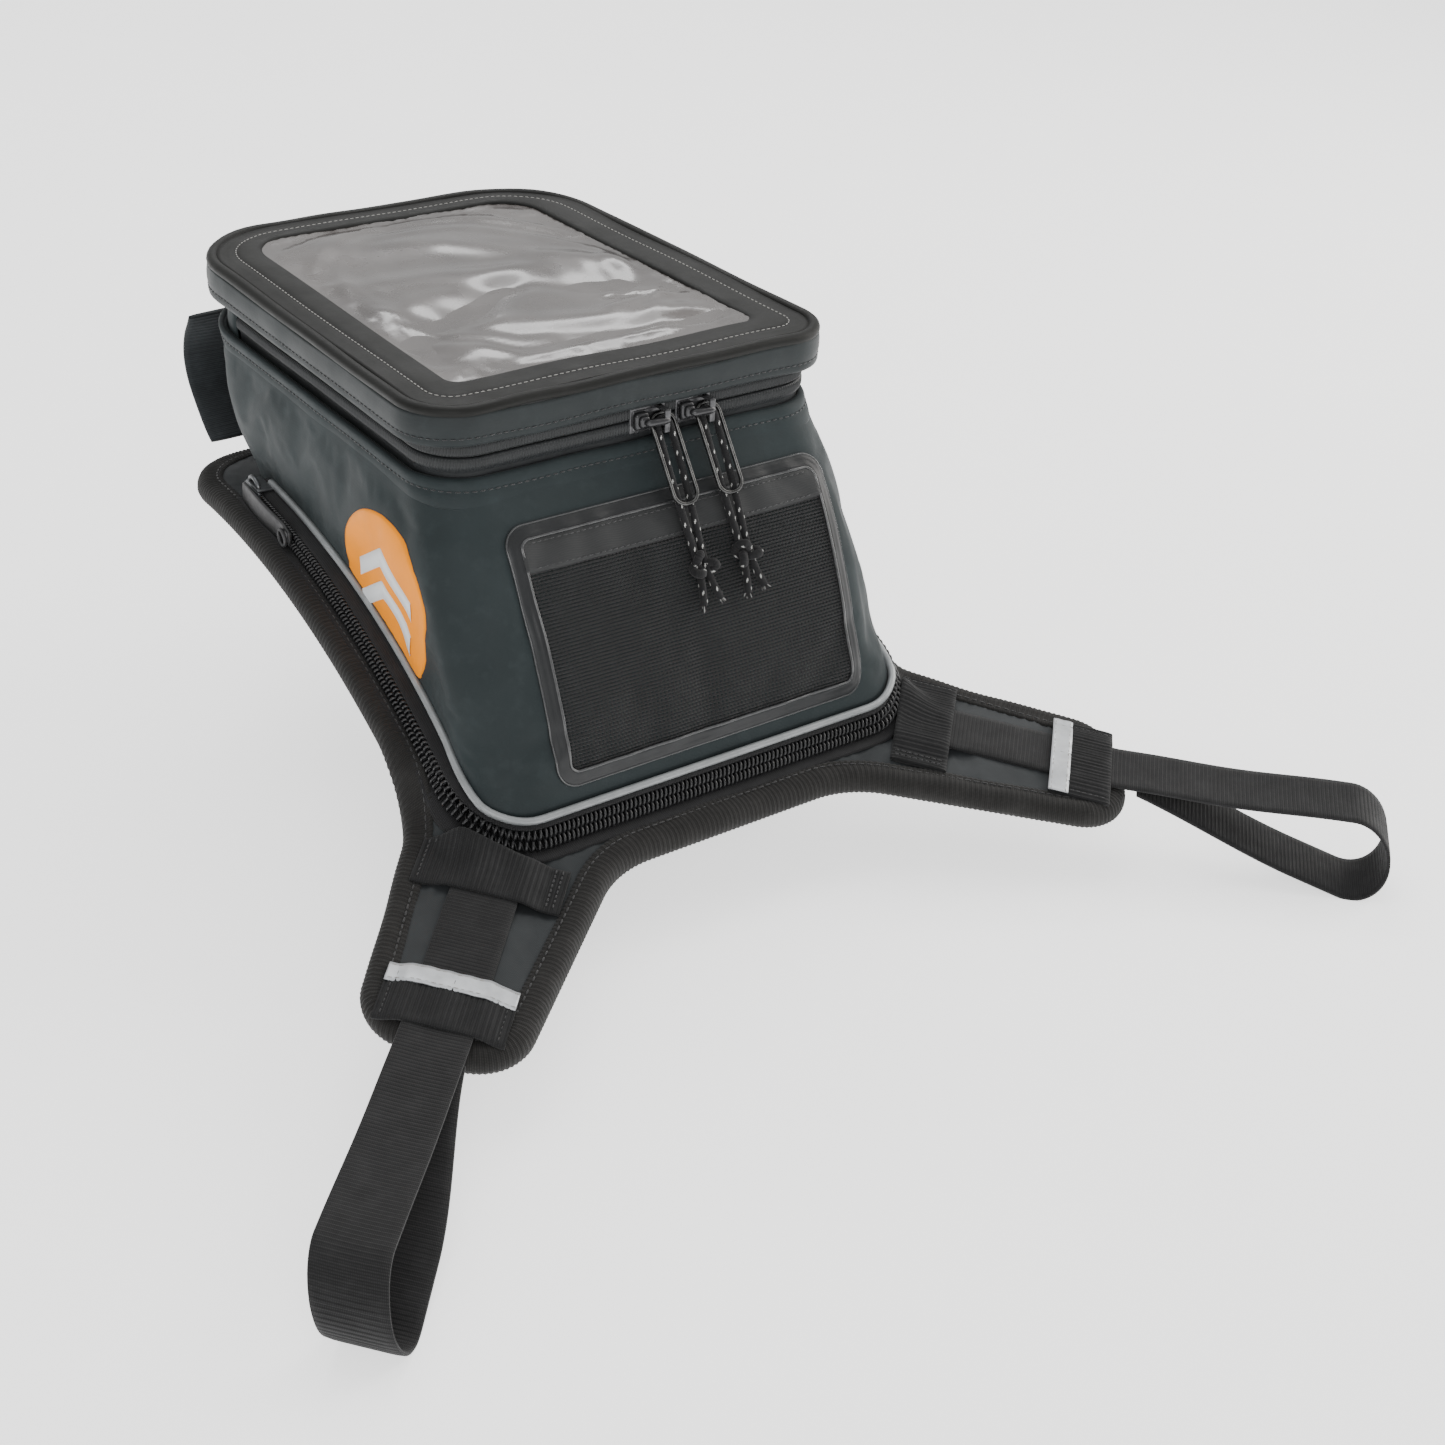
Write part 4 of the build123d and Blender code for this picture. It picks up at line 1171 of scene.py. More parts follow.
def body_skin():
    """The body's outer surface: columns round the bag, rows from its foot up to the rim."""
    foot = foot_line(SHELF_LIFT + 0.6)
    rows = np.linspace(0, 1, BODY_ROWS)
    z = foot[:, 2:] + (RIM_TOP - 0.6 - foot[:, 2:]) * rows[None]
    grid = np.stack([np.concatenate([hull(z[:, k]), z[:, k:k + 1]], 1) for k in range(BODY_ROWS)], 1)
    spread = (foot - grid[:, 0])[:, None] * np.array([1, 1, 0])
    fade = np.clip((FULL_Z + 6 - z) / (FULL_Z + 6 - foot[:, 2:]), 0, 1)
    grid = grid + spread * fade[..., None]
    for _ in range(4):
        grid[:, 1:-1] = (grid[:, :-2] + 2 * grid[:, 1:-1] + grid[:, 2:]) / 4
    side, rear = flanks()
    out = np.concatenate([RING_NORMALS, np.zeros((len(RING_NORMALS), 1))], 1)[:, None]
    belly = np.sin(math.pi * np.clip(rows, 0, 1)) ** 1.2
    free = ease(rows / 0.22) * ease((1 - rows) / 0.2)
    swell = (1.8 * side + 3.2 * rear + 0.5)[:, None] * belly[None]
    swell = swell + ripple(grid, 0.38, 70, 21) * free + ripple(grid, 0.16, 26, 22) * free
    swell = swell + creases(grid, FOLDS) * free
    grid = grid + out * swell[..., None]
    pinned = np.zeros(grid.shape[:2])
    pinned[:, :4] = pinned[:, -7:] = 1.0
    wall = settled(grid, True, pinned, 2.2, pressure=1.2, spare=0.006, stiff=18.0)
    tucks = [foot_line(lift, grow) for lift, grow in TURNED_IN]
    return np.concatenate([np.stack(tucks, 1), wall], 1)


def make_body():
    skin = body_skin()
    out = np.concatenate([RING_NORMALS, np.zeros((len(RING_NORMALS), 1))], 1)[:, None]
    inner = (skin - out * WALL_THICK)[:, ::-1]
    build = Build()
    slots = np.zeros((skin.shape[0], 2 * skin.shape[1]), int)
    slots[:, skin.shape[1]:] = 1
    build.sheet(np.concatenate([skin, inner], 1), around=True, across=True, slot=slots.ravel())
    panels = ["body_rear_panel", "body_front_panel", "body_side_panel_left", "body_side_panel_right"]
    build.make("body_shell", [BODY, LINING], "bag", panels, "coated_fabric")
    tree = Build()
    tree.sheet(skin, around=True)
    loops = np.concatenate(tree.loops).reshape(-1, 4)
    return BVHTree.FromPolygons(np.concatenate(tree.points).tolist(), loops.tolist())


class Relief:
    """Heights of the body's surface over a flat panel frame, for pieces that are fixed to it."""

    def __init__(self, tree, origin, across, up, out, half, rise, step=2.0):
        self.origin, self.across, self.up, self.out = (np.array(v, float) for v in (origin, across, up, out))
        self.a = np.arange(half[0], half[1] + step, step)
        self.b = np.arange(rise[0], rise[1] + step, step)
        self.height = np.zeros((len(self.a), len(self.b)))
        for i, a in enumerate(self.a):
            for j, b in enumerate(self.b):
                start = self.origin + self.across * a + self.up * b + self.out * 60
                hit = tree.ray_cast(Vector(start), Vector(-self.out), 120)
                self.height[i, j] = 60 - hit[3] if hit[0] is not None else 0.0

    def at(self, a, b, lift):
        """Points across the panel, up it, and a lift above the body's surface."""
        a, b, lift = np.broadcast_arrays(*[np.asarray(v, float) for v in (a, b, lift)])
        i = np.clip((a - self.a[0]) / (self.a[1] - self.a[0]), 0, len(self.a) - 1.001)
        j = np.clip((b - self.b[0]) / (self.b[1] - self.b[0]), 0, len(self.b) - 1.001)
        i0, j0 = i.astype(int), j.astype(int)
        u, v = i - i0, j - j0
        h = self.height
        level = (h[i0, j0] * (1 - u) * (1 - v) + h[i0 + 1, j0] * u * (1 - v)
                 + h[i0, j0 + 1] * (1 - u) * v + h[i0 + 1, j0 + 1] * u * v)
        return (self.origin + self.across * a[..., None] + self.up * b[..., None]
                + self.out * (level + lift)[..., None])


def make_rim():
    """The folded hem at the mouth of the bag, and its sewn line."""
    profile = [(-0.2, 72.5), (0.35, 73.6), (0.75, 76.0), (0.85, 77.8), (0.55, 78.6), (0.95, 79.4),
               (1.35, 81.2),
               (1.2, 82.3), (0.5, 82.9), (-0.5, 82.9), (-1.3, 82.0), (-1.4, 79.0), (-0.8, 73.5)]
    rows = []
    for grow, z in profile:
        at = hull(np.full(len(LOW_RING), z)) + RING_NORMALS * grow
        rows.append(np.concatenate([at, np.full((len(at), 1), z)], 1))
    grid = np.stack(rows, 1)
    grid[..., 2] += ripple(grid, 0.25, 45, 31)
    build = Build()
    build.sheet(grid, around=True, across=True)
    build.make("rim_binding", BODY, "bag", ["rim_binding"], "coated_fabric")
    build = Build()
    line = grid[:, 4] + np.concatenate([RING_NORMALS, np.zeros((len(RING_NORMALS), 1))], 1) * 0.25
    stitches(build, line, (0, 0, 1), 3.1, 0.66, 0.30, closed=True)
    build.make("rim_stitching", DARK_THREAD, "bag", slot="coated_fabric")


def make_piping():
    line = foot_line(PIPING_LIFT, 3.0)
    line[:, :2] += RING_NORMALS * 1.1 * np.clip(1 + 1.6 * RING_NORMALS[:, 1:], 0, 1)
    run = open_run(line, 85.0)
    _, (line,) = resampled(line[run], 1.5)
    build = Build()
    build.tube(line, 1.55, sides=12)
    build.make("reflective_piping", PIPING, "bag", ["reflective_piping"], "reflective")


# ==== rear pocket =================================================================================
def rear_relief(tree):
    foot = foot_line(SHELF_LIFT)
    low = np.array([POCKET_X, foot[:, 1].min(), foot[np.argmin(foot[:, 1]), 2]])
    high = np.array([POCKET_X, FULL_PLAN[0], FULL_Z])
    up = unit(high - low)
    return Relief(tree, high, (1, 0, 0), up, np.cross([1, 0, 0], up), (-80, 80), (-96, 16))


def pocket_ring(grow, radius):
    low, high = POCKET_LOW - grow, POCKET_HIGH + grow
    corners = [(-POCKET_HALF[0] - grow, low), (POCKET_HALF[0] + grow, low), (POCKET_HALF[1] + grow, high),
               (-POCKET_HALF[1] - grow, high)]
    return rounded(corners, [radius] * 4, (60, 40, 60, 40), 10)[0]


def net_lift(a, b):
    """The mesh bellies out a little in the middle of the pocket."""
    middle = (POCKET_LOW + POCKET_HIGH) / 2
    shape = np.clip(1 - (a / POCKET_HALF[0]) ** 2, 0, 1) * np.clip(1 - ((b - middle) / 44) ** 2, 0, 1)
    wave = ripple(np.stack([a, b, a * 0], -1), 0.25, 30, 41)
    return 1.0 + 1.3 * shape + wave * shape


def make_pocket(relief):
    profile = [(-0.6, 0.2, 4), (-0.3, 1.7, 4), (0.7, 2.1, 4.5), (1.9, 1.5, 5.5), (3.2, 1.35, 7),
               (4.6, 1.15, 8.5),
               (5.4, 0.6, 9), (5.8, -0.4, 9.4), (2.5, -0.8, 7), (-0.6, -0.8, 4)]
    grid = np.stack([relief.at(*pocket_ring(grow, radius).T, lift) for grow, lift, radius in profile], 1)
    build = Build()
    build.sheet(grid, around=True, across=True)
    build.make("pocket_frame", POCKET_FABRIC, "bag", ["pocket_frame"], "frame_vinyl")
    build = Build()
    for grow, radius, lift, wide in ((-0.1, 4, 1.9, 0.62), (5.3, 9, 0.55, 0.42)):
        ring = pocket_ring(grow, radius)
        uneven = ripple(np.stack([*ring.T, ring[:, 0] * 0], -1), 0.1, 18, 4)
        build.tube(relief.at(*ring.T, lift + uneven), wide,
                   sides=8, closed=True)
    build.make("pocket_weld_bead", BEAD_GLOSS, "bag", slot="frame_vinyl")
    make_net(relief)
    low = POCKET_HIGH - POCKET_BAND
    a = np.linspace(-POCKET_HALF[1] - 0.3, POCKET_HALF[1] + 0.3, 90)
    b = np.linspace(low, POCKET_HIGH + 0.3, 12)
    lift = np.array([0.9, 2.3, 2.5, 2.35, 2.3, 2.3, 2.25, 2.2, 2.15, 2.1, 2.0, 1.6])
    a2, b2 = np.meshgrid(a, b, indexing="ij")
    dip = 0.9 * np.sin(math.pi * (a2 / POCKET_HALF[1] + 1) / 2)
    wave = ripple(np.stack([a2, b2, a2 * 0], -1), 0.22, 26, 8)
    top = relief.at(a2, b2 - dip * (b[-1] - b2) / POCKET_BAND, lift[None] + wave)
    build = Build()
    build.sheet(np.concatenate([top, (top - relief.out * 0.8)[:, ::-1]], 1), across=True, caps=True)
    build.make("pocket_top_band", BAND_FABRIC, "bag", ["pocket_top_band"], "mesh_band")
    build = Build()
    for offset in (2.0, 11.2):
        line = relief.at(a[3:-3], low + offset - 0.9 * (1 - offset / POCKET_BAND) * np.sin(
            math.pi * (a[3:-3] / POCKET_HALF[1] + 1) / 2), 2.55)
        stitches(build, line, relief.out, 2.8, 0.68, 0.22)
    build.make("pocket_stitching", DARK_THREAD, "bag", slot="mesh_band")


NET_ROW, NET_COLUMN, YARN = 1.35, 1.75, 0.30


def make_net(relief):
    """Knitted net: wavy yarns across the pocket, tied by short upright ones."""
    build = Build()
    low, high = POCKET_LOW, POCKET_HIGH - POCKET_BAND + 1.5
    heights = np.arange(low, high, NET_ROW)
    half = POCKET_HALF[0]
    a = np.arange(-half, half + 0.1, NET_COLUMN / 3)
    for k, b in enumerate(heights):
        sway = 0.22 * np.sin(2 * math.pi * a / NET_COLUMN + math.pi * (k % 2))
        row = b + sway + 0 * a
        build.tube(relief.at(a, row, net_lift(a, row)), YARN, sides=4)
    for k, a in enumerate(np.arange(-half + 0.6, half, NET_COLUMN)):
        b = np.arange(low, high, NET_ROW / 2)
        column = a + 0.28 * np.sin(math.pi * b / NET_ROW)
        build.tube(relief.at(column, b, net_lift(column, b) - 0.15), YARN * 0.9, sides=4)
    net = build.make("pocket_mesh", NET, "bag", ["pocket_mesh"], "mesh", recalc=False)


# ==== side patches and front bands ================================================================
def make_emblems(tree):
    y0, z0 = EMBLEM_AT
    for name, side in (("right", 1), ("left", -1)):
        start = (side * EMBLEM_PLANE, y0, z0)
        relief = Relief(tree, start, (0, 1, 0), (0, 0, 1), (side, 0, 0), (-40, 40), (-40, 40), 2.5)
        angle = np.linspace(0, 2 * math.pi, 96, endpoint=False)
        shares = np.array([0.0, 0.3, 0.5, 0.7, 0.85, 0.95, 0.99, 1.0])
        reach = np.full(96, EMBLEM_RADIUS)
        for k in range(96):
            while reach[k] > 1:
                a, b = reach[k] * math.cos(angle[k]), reach[k] * math.sin(angle[k])
                if z0 + b > tank_height(y0 + a, 19.9):
                    break
                reach[k] -= 0.25
        a = (reach * np.cos(angle))[:, None] * shares
        b = (reach * np.sin(angle))[:, None] * shares
        rise = np.array([0.75, 0.75, 0.75, 0.75, 0.75, 0.72, 0.5, -0.3])
        build = Build()
        build.sheet(relief.at(a, b, rise[None]), around=True)
        build.make(f"side_emblem_{name}", PATCH_ORANGE, "bag", [f"side_emblem_{name}"], "emblem")
        build = Build()
        for peak in (18.0, 4.0):
            path = np.array([(-22.0, peak - 14.0), (0.0, peak), (22.0, peak - 14.0)])
            _, (line,) = resampled(path, 1.5)
            t = np.array([-4.0, -3.8, 0.0, 3.8, 4.0])
            lift = np.array([0.5, 1.05, 1.1, 1.05, 0.5])
            build.sheet(relief.at(line[:, None, 0] + 0 * t, line[:, None, 1] + t, lift[None]))
        build.make(f"side_emblem_chevron_{name}", PATCH_PALE, "bag", slot="emblem")


EMBLEM_PLANE = 90.0
FRONT_BAND_X, FRONT_BAND_THICK = (50.0, 88.0), 2.0
FRONT_BAND_PATH = [(152.8, 78.0), (155.3, 74.0), (158.8, 68.0), (160.2, 57.0), (156.6, 43.0), (146.0, 31.5),
                   (137.5, 27.0)]


def make_front_bands():
    """A wide webbing band on each side of the front face, standing off it as a hand hold."""
    line = spline_line("band_route", [(0, y * MM, z * MM) for y, z in FRONT_BAND_PATH])
    along = lengths(line)
    ahead = unit(np.gradient(line, axis=0))
    normal = np.stack([ahead[:, 0], -ahead[:, 2], ahead[:, 1]], -1)
    inner, outer = FRONT_BAND_X
    for name, side in (("right", 1), ("left", -1)):

        def band(s, t, h):
            y, z = (np.interp(s, along, line[:, k]) for k in (1, 2))
            ny, nz = (np.interp(s, along, normal[:, k]) for k in (1, 2))
            fold = 0.9 * np.sin(s * 0.16 + t * 0.05)
            return np.stack([side * ((inner + outer) / 2 + t), y - ny * (h + fold), z - nz * (h + fold)], -1)

        build = Build()
        webbing(build, band, along[-1], outer - inner, FRONT_BAND_THICK, 2.0, 0.15, across=17)
        build.make(f"front_band_{name}", HOLD_BAND, "bag", [f"front_band_{name}"], "webbing")


# ==== lid zipper ==================================================================================
def rim_place():
    """Places along the lid zipper's open run: distance, growth and height."""
    points, normals = outline(RIM_PLAN)
    run = open_run(points, HINGE_PANEL_Y)
    points, normals = points[run], normals[run]
    along = lengths(points)

    def place(s, grow, z):
        x, y, nx, ny = (np.interp(s, along, v) for v in (*points.T, *normals.T))
        s, grow, z = np.broadcast_arrays(s, grow, z)
        return np.stack([x + nx * grow, y + ny * grow, z + 0 * s], -1)

    return place, along[-1]


RIB_PITCH = 1.3


def make_lid_zipper():
    """Film-covered tapes with the coil's ribs showing through beside the slit, and the coils behind."""
    place, total = rim_place()
    s = np.arange(0, total, RIB_PITCH / 4)[:, None]
    rib = np.cos(2 * math.pi * s / RIB_PITCH)
    halves = (("lower", "bag", RIM_TOP - 4, ZIP_Z - 0.22), ("upper", "lid", LID_HEM + 3, ZIP_Z + 0.22))
    for name, body, edge, slit in halves:
        share = np.array([0.0, 0.25, 0.45, 0.56, 0.64, 0.74, 0.84, 0.93, 0.98, 1.0])
        z = edge + (slit - edge) * share
        near = np.abs(z - ZIP_Z)
        puff = 1.5 * ease((6.8 - near) / 3.0)
        ribbed = 0.30 * ease((5.4 - near) / 1.2) * ease((near - 0.5) / 0.8)
        front = -ZIP_INSET + puff - 0.8 * ease((0.8 - near) / 0.6)
        wave = ripple(np.concatenate([place(s[:, 0], 0, 90.0)], -1), 0.18, 40, 61)[:, None]
        outer = place(s, front[None] + ribbed[None] * rib + wave, z[None] + 0 * s)
        inner = place(s, (-ZIP_INSET - ZIP_TAPE + 0 * front)[None] + 0 * s + wave, z[None] + 0 * s)
        build = Build()
        build.sheet(np.concatenate([outer, inner[:, ::-1]], 1), across=True, caps=True)
        build.make(f"{name}_lid_tape", ZIP_FILM, body, [f"{name}_lid_tape"], "zip_film")
        build = Build()
        low, high = sorted((slit, ZIP_Z + (2.6 if name == "upper" else -2.6)))
        depth = (-ZIP_INSET - ZIP_TAPE - 2.0, -ZIP_INSET - ZIP_TAPE - 0.5)
        phase = 0.0 if name == "lower" else math.pi
        coil(build, place, total, RIB_PITCH, depth, low + 0.3, high - 0.3, 0.42, phase)
        build.make(f"{name}_lid_coil", COIL, body, [f"{name}_lid_coil"], "zip_coil", recalc=False)


def make_hinge():
    """Plain fabric round the front of the zipper; the straight front stretch, where the lid folds open, is
    one piece across both halves, fixed to neither.
    """
    points, normals = outline(RIM_PLAN)
    front = points[:, 1] > HINGE_PANEL_Y - 1.0
    straight = normals[:, 1] > 0.999
    from_rear = np.roll(np.arange(len(points)), -int(np.argmin(points[:, 1])))
    front_run = [i for i in from_rear if front[i]]
    points, normals, straight = points[front_run], normals[front_run], straight[front_run]

    def panel(keep, low, high):
        z = np.linspace(low, high, 14)
        bow = 0.7 * np.sin(math.pi * (z - low) / (high - low))
        keep = np.flatnonzero(keep)
        at = points[keep, None] + normals[keep, None] * (-ZIP_INSET + bow)[None, :, None]
        outer = np.concatenate([at, np.broadcast_to(z[None, :, None], (*at.shape[:2], 1))], -1)
        back = np.concatenate([normals[keep], np.zeros((len(keep), 1))], 1)[:, None] * 0.9
        build = Build()
        build.sheet(np.concatenate([outer, (outer - back)[:, ::-1]], 1), across=True, caps=True)
        return build

    sides = ~straight
    left, right = sides & (points[:, 0] < 0), sides & (points[:, 0] > 0)
    halves = (("lower", "bag", RIM_TOP - 4, ZIP_Z - 0.1), ("upper", "lid", ZIP_Z + 0.1, LID_HEM + 3))
    for name, body, low, high in halves:
        node = f"{name}_hinge_panel"
        panel(left, low, high).make(f"{node}_left", BODY, body, [node], "coated_fabric")
        panel(right, low, high).make(f"{node}_right", BODY, body, slot="coated_fabric")
    joined = straight | np.roll(straight, 1) | np.roll(straight, -1)
    fold = panel(joined, RIM_TOP - 4, LID_HEM + 3).make("lid_hinge_fabric", BODY, None, slot="coated_fabric")
    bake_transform(fold)


# ==== lid =========================================================================================
def window_reach(y, share=1.0):
    """How much further forward the window's edge lies at the lid's front than an even border."""
    return WINDOW_FORWARD * share * ease((y - 85) / 45)


def lid_band(name, profile, material, replaced, slot, seed=None, size=0.0, reach=None):
    grid = swept(LID_PLAN, profile)
    if reach is not None:
        grid[..., 1] += window_reach(grid[..., 1], reach)
    if seed:
        grid[..., 2] += ripple(grid, size, 50, seed)
    build = Build()
    build.sheet(grid, around=True, across=True)
    build.make(name, material, "lid", replaced, slot)
    return grid


def make_lid():
    wall = [(-2.6, 98.0), (-1.8, 96.9), (-0.6, 96.5), (0.2, 97.1), (0.45, 98.1), (0.35, 99.4), (0.2, 100.0),
            (0.45, 100.8), (0.7, 103.0), (0.65, 105.6), (0.35, 107.8), (0.15, 108.9), (-1.5, 108.7),
            (-1.6, 104.0)]
    lid_band("lid_wall", wall, LID_SKIN, ["lid_wall"], "coated_fabric", 51, 0.4)
    bead = [(0.0, 108.6), (0.35, 109.2), (0.5, 110.2), (0.1, 111.3), (-0.9, 112.1), (-2.2, 112.4),
            (-3.3, 112.1),
            (-4.2, 111.4), (-4.2, 110.4), (-0.8, 110.3), (-0.5, 108.6)]
    lid_band("lid_edge_bead", bead, FRAME_VINYL, ["lid_edge_bead"], "frame_vinyl", 52, 0.25)
    band = [(-3.9, 110.3), (-3.8, 111.4), (-5.5, 111.3), (-8.5, 111.6), (-11.3, 111.75), (-12.0, 111.4),
            (-12.7, 111.8), (-15.0, 112.15), (-19.0, 112.2), (-22.3, 111.95), (-23.8, 111.5), (-24.6, 110.9),
            (-24.6, 110.2)]
    grid = lid_band("lid_frame", band, FRAME_VINYL, ["lid_frame"], "frame_vinyl", 53, 0.32,
                    np.clip((-np.array(band)[:, 0] - 10) / 14, 0, 1))
    build = Build()
    stitches(build, grid[:, 5] + np.array([0, 0, 0.28]), (0, 0, 1), 2.6, 0.66, 0.24, closed=True)
    build.make("lid_frame_stitching", PALE_THREAD, "lid", slot="frame_vinyl")
    build = Build()
    wall_line = swept(LID_PLAN, [(0.42, 99.9)])[:, 0]
    wall_line[:, 2] += ripple(wall_line, 0.4, 50, 51)
    stitches(build, wall_line, (0, 0, 1), 3.0, 0.68, 0.26, closed=True)
    build.make("lid_wall_stitching", DARK_THREAD, "lid", slot="coated_fabric")
    make_window()


FILM_FOLDS = [  # soft folds in the window: start x, y, end x, y, width, height
    ((58, -30, 0), (-40, -32, 0), 7, 1.3),
    ((60, -22, 0), (0, -18, 0), 6, -1.2),
    ((56, -12, 0), (-30, 6, 0), 8, 1.1),
    ((-60, -28, 0), (10, 34, 0), 9, 1.4),
    ((-64, 2, 0), (16, 52, 0), 8, -1.1),
    ((-62, 34, 0), (30, 60, 0), 9, 1.2),
    ((-50, 70, 0), (50, 48, 0), 10, 1.0),
    ((58, 20, 0), (-10, 46, 0), 8, -1.0),
    ((64, 40, 0), (10, 90, 0), 8, 0.9),
    ((-30, 110, 0), (40, 84, 0), 12, 0.9),
    ((66, 6, 0), (34, 14, 0), 1.6, -1.4),
    ((67, 4, 0), (30, 2, 0), 4, 1.1),
]


WINDOW_FORWARD, FILM_CELL = 6.0, 2.2


def make_window():
    """The flexible window: fixed at its border, slack and rumpled in the middle."""
    ring, _ = outline(LID_PLAN, -WINDOW_INSET + 2.5)
    ring[:, 1] += window_reach(ring[:, 1])
    grid, kept = plan_cells(ring, FILM_CELL)
    border = np.min(np.linalg.norm(grid[:, :, None] - ring[None, None, ::3], axis=-1), axis=2)
    free = ease((border - 2.0) / 14)
    flat = np.concatenate([grid, np.zeros((*grid.shape[:2], 1))], -1)
    sheet = flat + np.array([0, 0, 110.75])
    pinned = (free < 0.02) | ~inside(grid, ring)
    sheet = settled(sheet, False, pinned.astype(float), 2.0, pressure=0.3, spare=0.003, stiff=20.0)
    rumple = creases(flat, FILM_FOLDS) + ripple(flat, 0.35, 42, 71)
    sheet[..., 2] += rumple * free * 1.5
    build = Build()
    layer(build, grid, kept, sheet, flat + np.array([0, 0, 110.1]))
    build.make("map_window", FILM, "lid", ["map_window"], "window_film")


# ==== sliders =====================================================================================
def make_lid_slider(side):
    """Slider with a domed cap and a bridge bar whose hooked end holds the pull."""
    x = SLIDER_X[side]
    out = np.array([[1, 0, 0], [0, 0, 1], [0, -1, 0]], float)  # local X along the chain, Y up, Z outwards
    build = Build()

    def put(a, b, c):
        return np.array([x + a, SLIDER_FACE - c, ZIP_Z + b])

    build.block(put(0, 0, -0.55), (16.4, 10.6, 1.5), 0.6, out)
    build.block(put(-0.6, 0, 0.15), (13.0, 8.2, 0.9), 0.42, out)
    build.block(put(0, 0, -7.3), (16.4, 9.6, 1.3), 0.5, out)
    build.block(put(0, 0, -3.8), (6.0, 1.3, 7.0), 0.3, out)
    build.block(put(-4.2, 0.3, 1.6), (6.4, 7.0, 3.4), 1.5, out, 4)
    build.block(put(-4.0, 0.6, 3.6), (4.6, 4.6, 3.0), 1.3, out, 4)
    bar = np.linspace(0, 1, 14)
    line = np.stack([x - 4.6 + 11.2 * bar, SLIDER_FACE - 5.95 + 0.6 * (2 * bar - 1) ** 4,
                     ZIP_Z + 0.7 - 0.5 * bar], -1)
    wide = 1.55 * np.clip(1 - np.abs(2 * bar - 1) ** 8 * 0.55, 0, 1)
    build.tube(line, wide, sides=14)
    build.block(put(HOOK_X, 4.1, 3.0), (2.4, 1.4, 6.6), 0.45, out)
    build.block(put(HOOK_X, -4.1, 3.0), (2.4, 1.4, 6.6), 0.45, out)
    build.block(put(HOOK_X, 0, 5.95), (2.6, 9.4, 1.3), 0.5, out)
    node = f"lid_slider_{side}"
    build.make(node, SLIDER_METAL, node, [node], "slider_metal")


def base_side():
    """Frame on the left side of the base zipper at the crest: forwards, outwards, up."""
    rear_y, rear_half, front_y, front_half = CHAIN_PLAN
    share = (CREST_Y - rear_y) / (front_y - rear_y)
    turn = math.atan2(rear_half - front_half, front_y - rear_y)
    origin = np.array([-(rear_half + (front_half - rear_half) * share), CREST_Y])
    ahead = np.array([math.sin(turn), math.cos(turn)])
    return origin, ahead, np.array([-ahead[1], ahead[0]])


def beside_chain(run, out, lift):
    """Points beside the left chain: along it from the crest, outwards from it, and up."""
    origin, ahead, away = base_side()
    run, out, lift = np.broadcast_arrays(*[np.asarray(v, float) for v in (run, out, lift)])
    x = origin[0] + ahead[0] * run + away[0] * out
    y = origin[1] + ahead[1] * run + away[1] * out
    return np.stack([x, y, tank_height(y, lift)], -1)


BASE_SLIDER_RUN = (-13.5, 1.5)


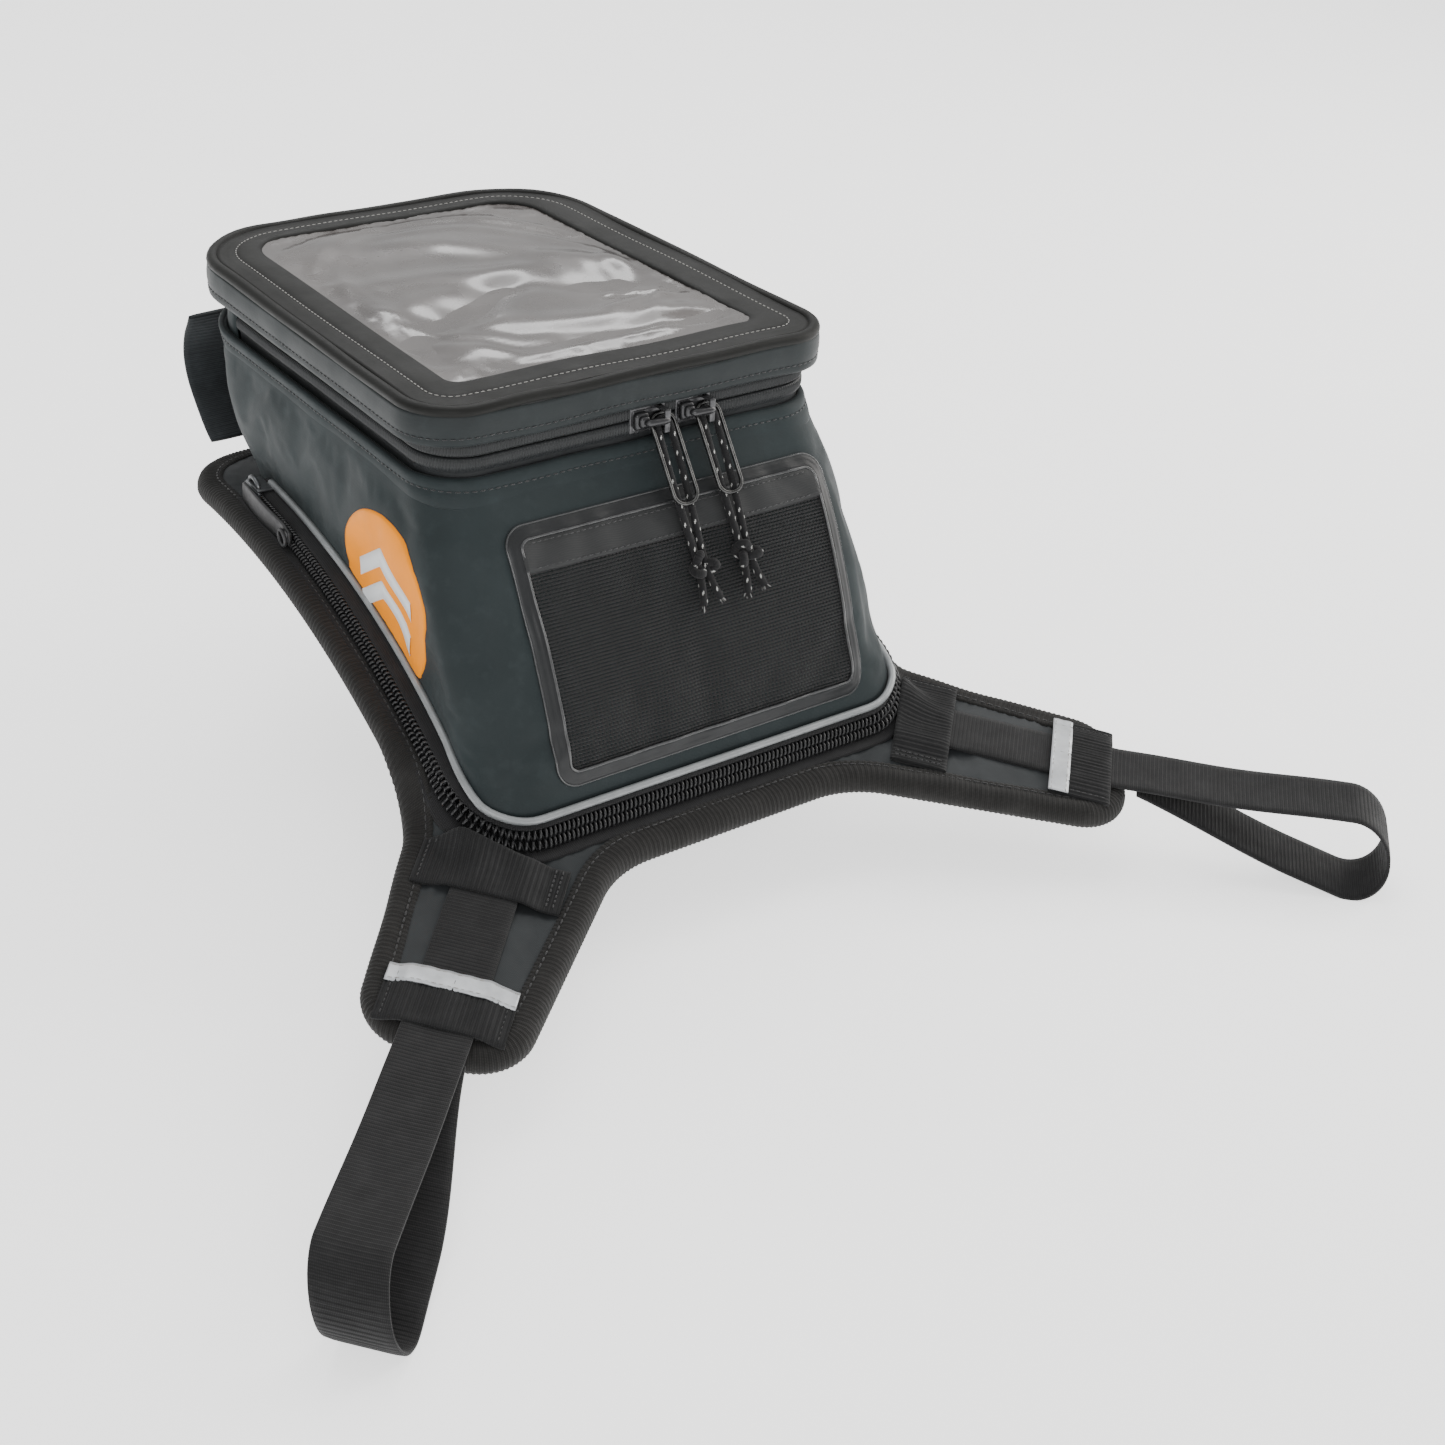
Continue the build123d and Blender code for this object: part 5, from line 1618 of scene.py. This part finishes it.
def make_base_slider():
    """The base slider, and the fabric tab that lies back over the coil from it."""
    start, end = BASE_SLIDER_RUN
    _, ahead, away = base_side()
    axes = np.array([[ahead[0], ahead[1], 0], [away[0], away[1], 0], [0, 0, 1]])
    middle = (start + end) / 2
    build = Build()
    for out, lift, size, soften in (
        (6.0, 12.9, (15, 1.5, 7.4), 0.6), (-1.4, 12.0, (15, 1.3, 5.2), 0.5), (2.3, 12.0, (5, 6.6, 1.3), 0.3),
        (7.2, 13.2, (9.5, 1.6, 4.6), 0.7), (3.0, 16.9, (13, 7.0, 1.3), 0.55),
    ):
        build.block(beside_chain(middle, out, lift), size, soften, axes)
    bridge = np.linspace(0, math.pi, 14)
    line = beside_chain(middle + 4.6 * np.cos(bridge), 5.2 + 0 * bridge, 17.3 + 3.0 * np.sin(bridge))
    build.tube(line, 1.05, sides=10)
    build.make("base_slider", BASE_METAL, "base_slider", ["base_slider"], "slider_metal")
    rows = np.linspace(0, 1, 60)
    run = -3.5 - 45.0 * rows
    half = 4.3 + 0.8 * np.sin(math.pi * rows) - 1.2 * ease((rows - 0.85) / 0.15)
    lean = 8.6 + 0.9 * np.sin(rows * 5.0)
    section = np.linspace(0, 2 * math.pi, 20, endpoint=False)
    across, thick = np.cos(section), np.sin(section)
    sway = 0.6 * np.sin(rows * 7)
    lift = 14.0 + sway[:, None] + half[:, None] * np.sign(across) * np.abs(across) ** 0.8
    out = lean[:, None] + 1.05 * np.sign(thick) * np.abs(thick) ** 0.6 + 0 * lift
    build = Build()
    build.sheet(beside_chain(run[:, None] + 0 * lift, out, lift), across=True, caps=True)
    loop = np.linspace(0, 2 * math.pi, 30, endpoint=False)
    ring = beside_chain(-45.5 + 3.4 * np.cos(loop), 9.9 + 0 * loop, 14.0 + 3.1 * np.sin(loop))
    build.tube(ring, 0.75, sides=8, closed=True)
    build.make("base_pull_tab", TAB_RUBBER, "base_pull", ["base_pull_tab"], "pull_rubber")


make_base_zipper()
body_tree = make_body()
make_rim()
make_piping()
make_pocket(rear_relief(body_tree))
make_emblems(body_tree)
make_front_bands()
make_lid_zipper()
make_hinge()
make_lid()
for side in SLIDER_X:
    make_lid_slider(side)
make_base_slider()


def finish_cad_nodes():
    """Gives the rigid CAD pieces that stay in view their own materials."""
    finishes = {"wire_loop_left": NICKEL, "wire_loop_right": NICKEL, "base_board": BOARD, "lid_panel": BOARD}
    for name, material in finishes.items():
        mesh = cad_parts[name].data
        mesh.materials.clear()
        mesh.materials.append(material)
        mesh.shade_smooth() if name.startswith("wire") else None


finish_cad_nodes()
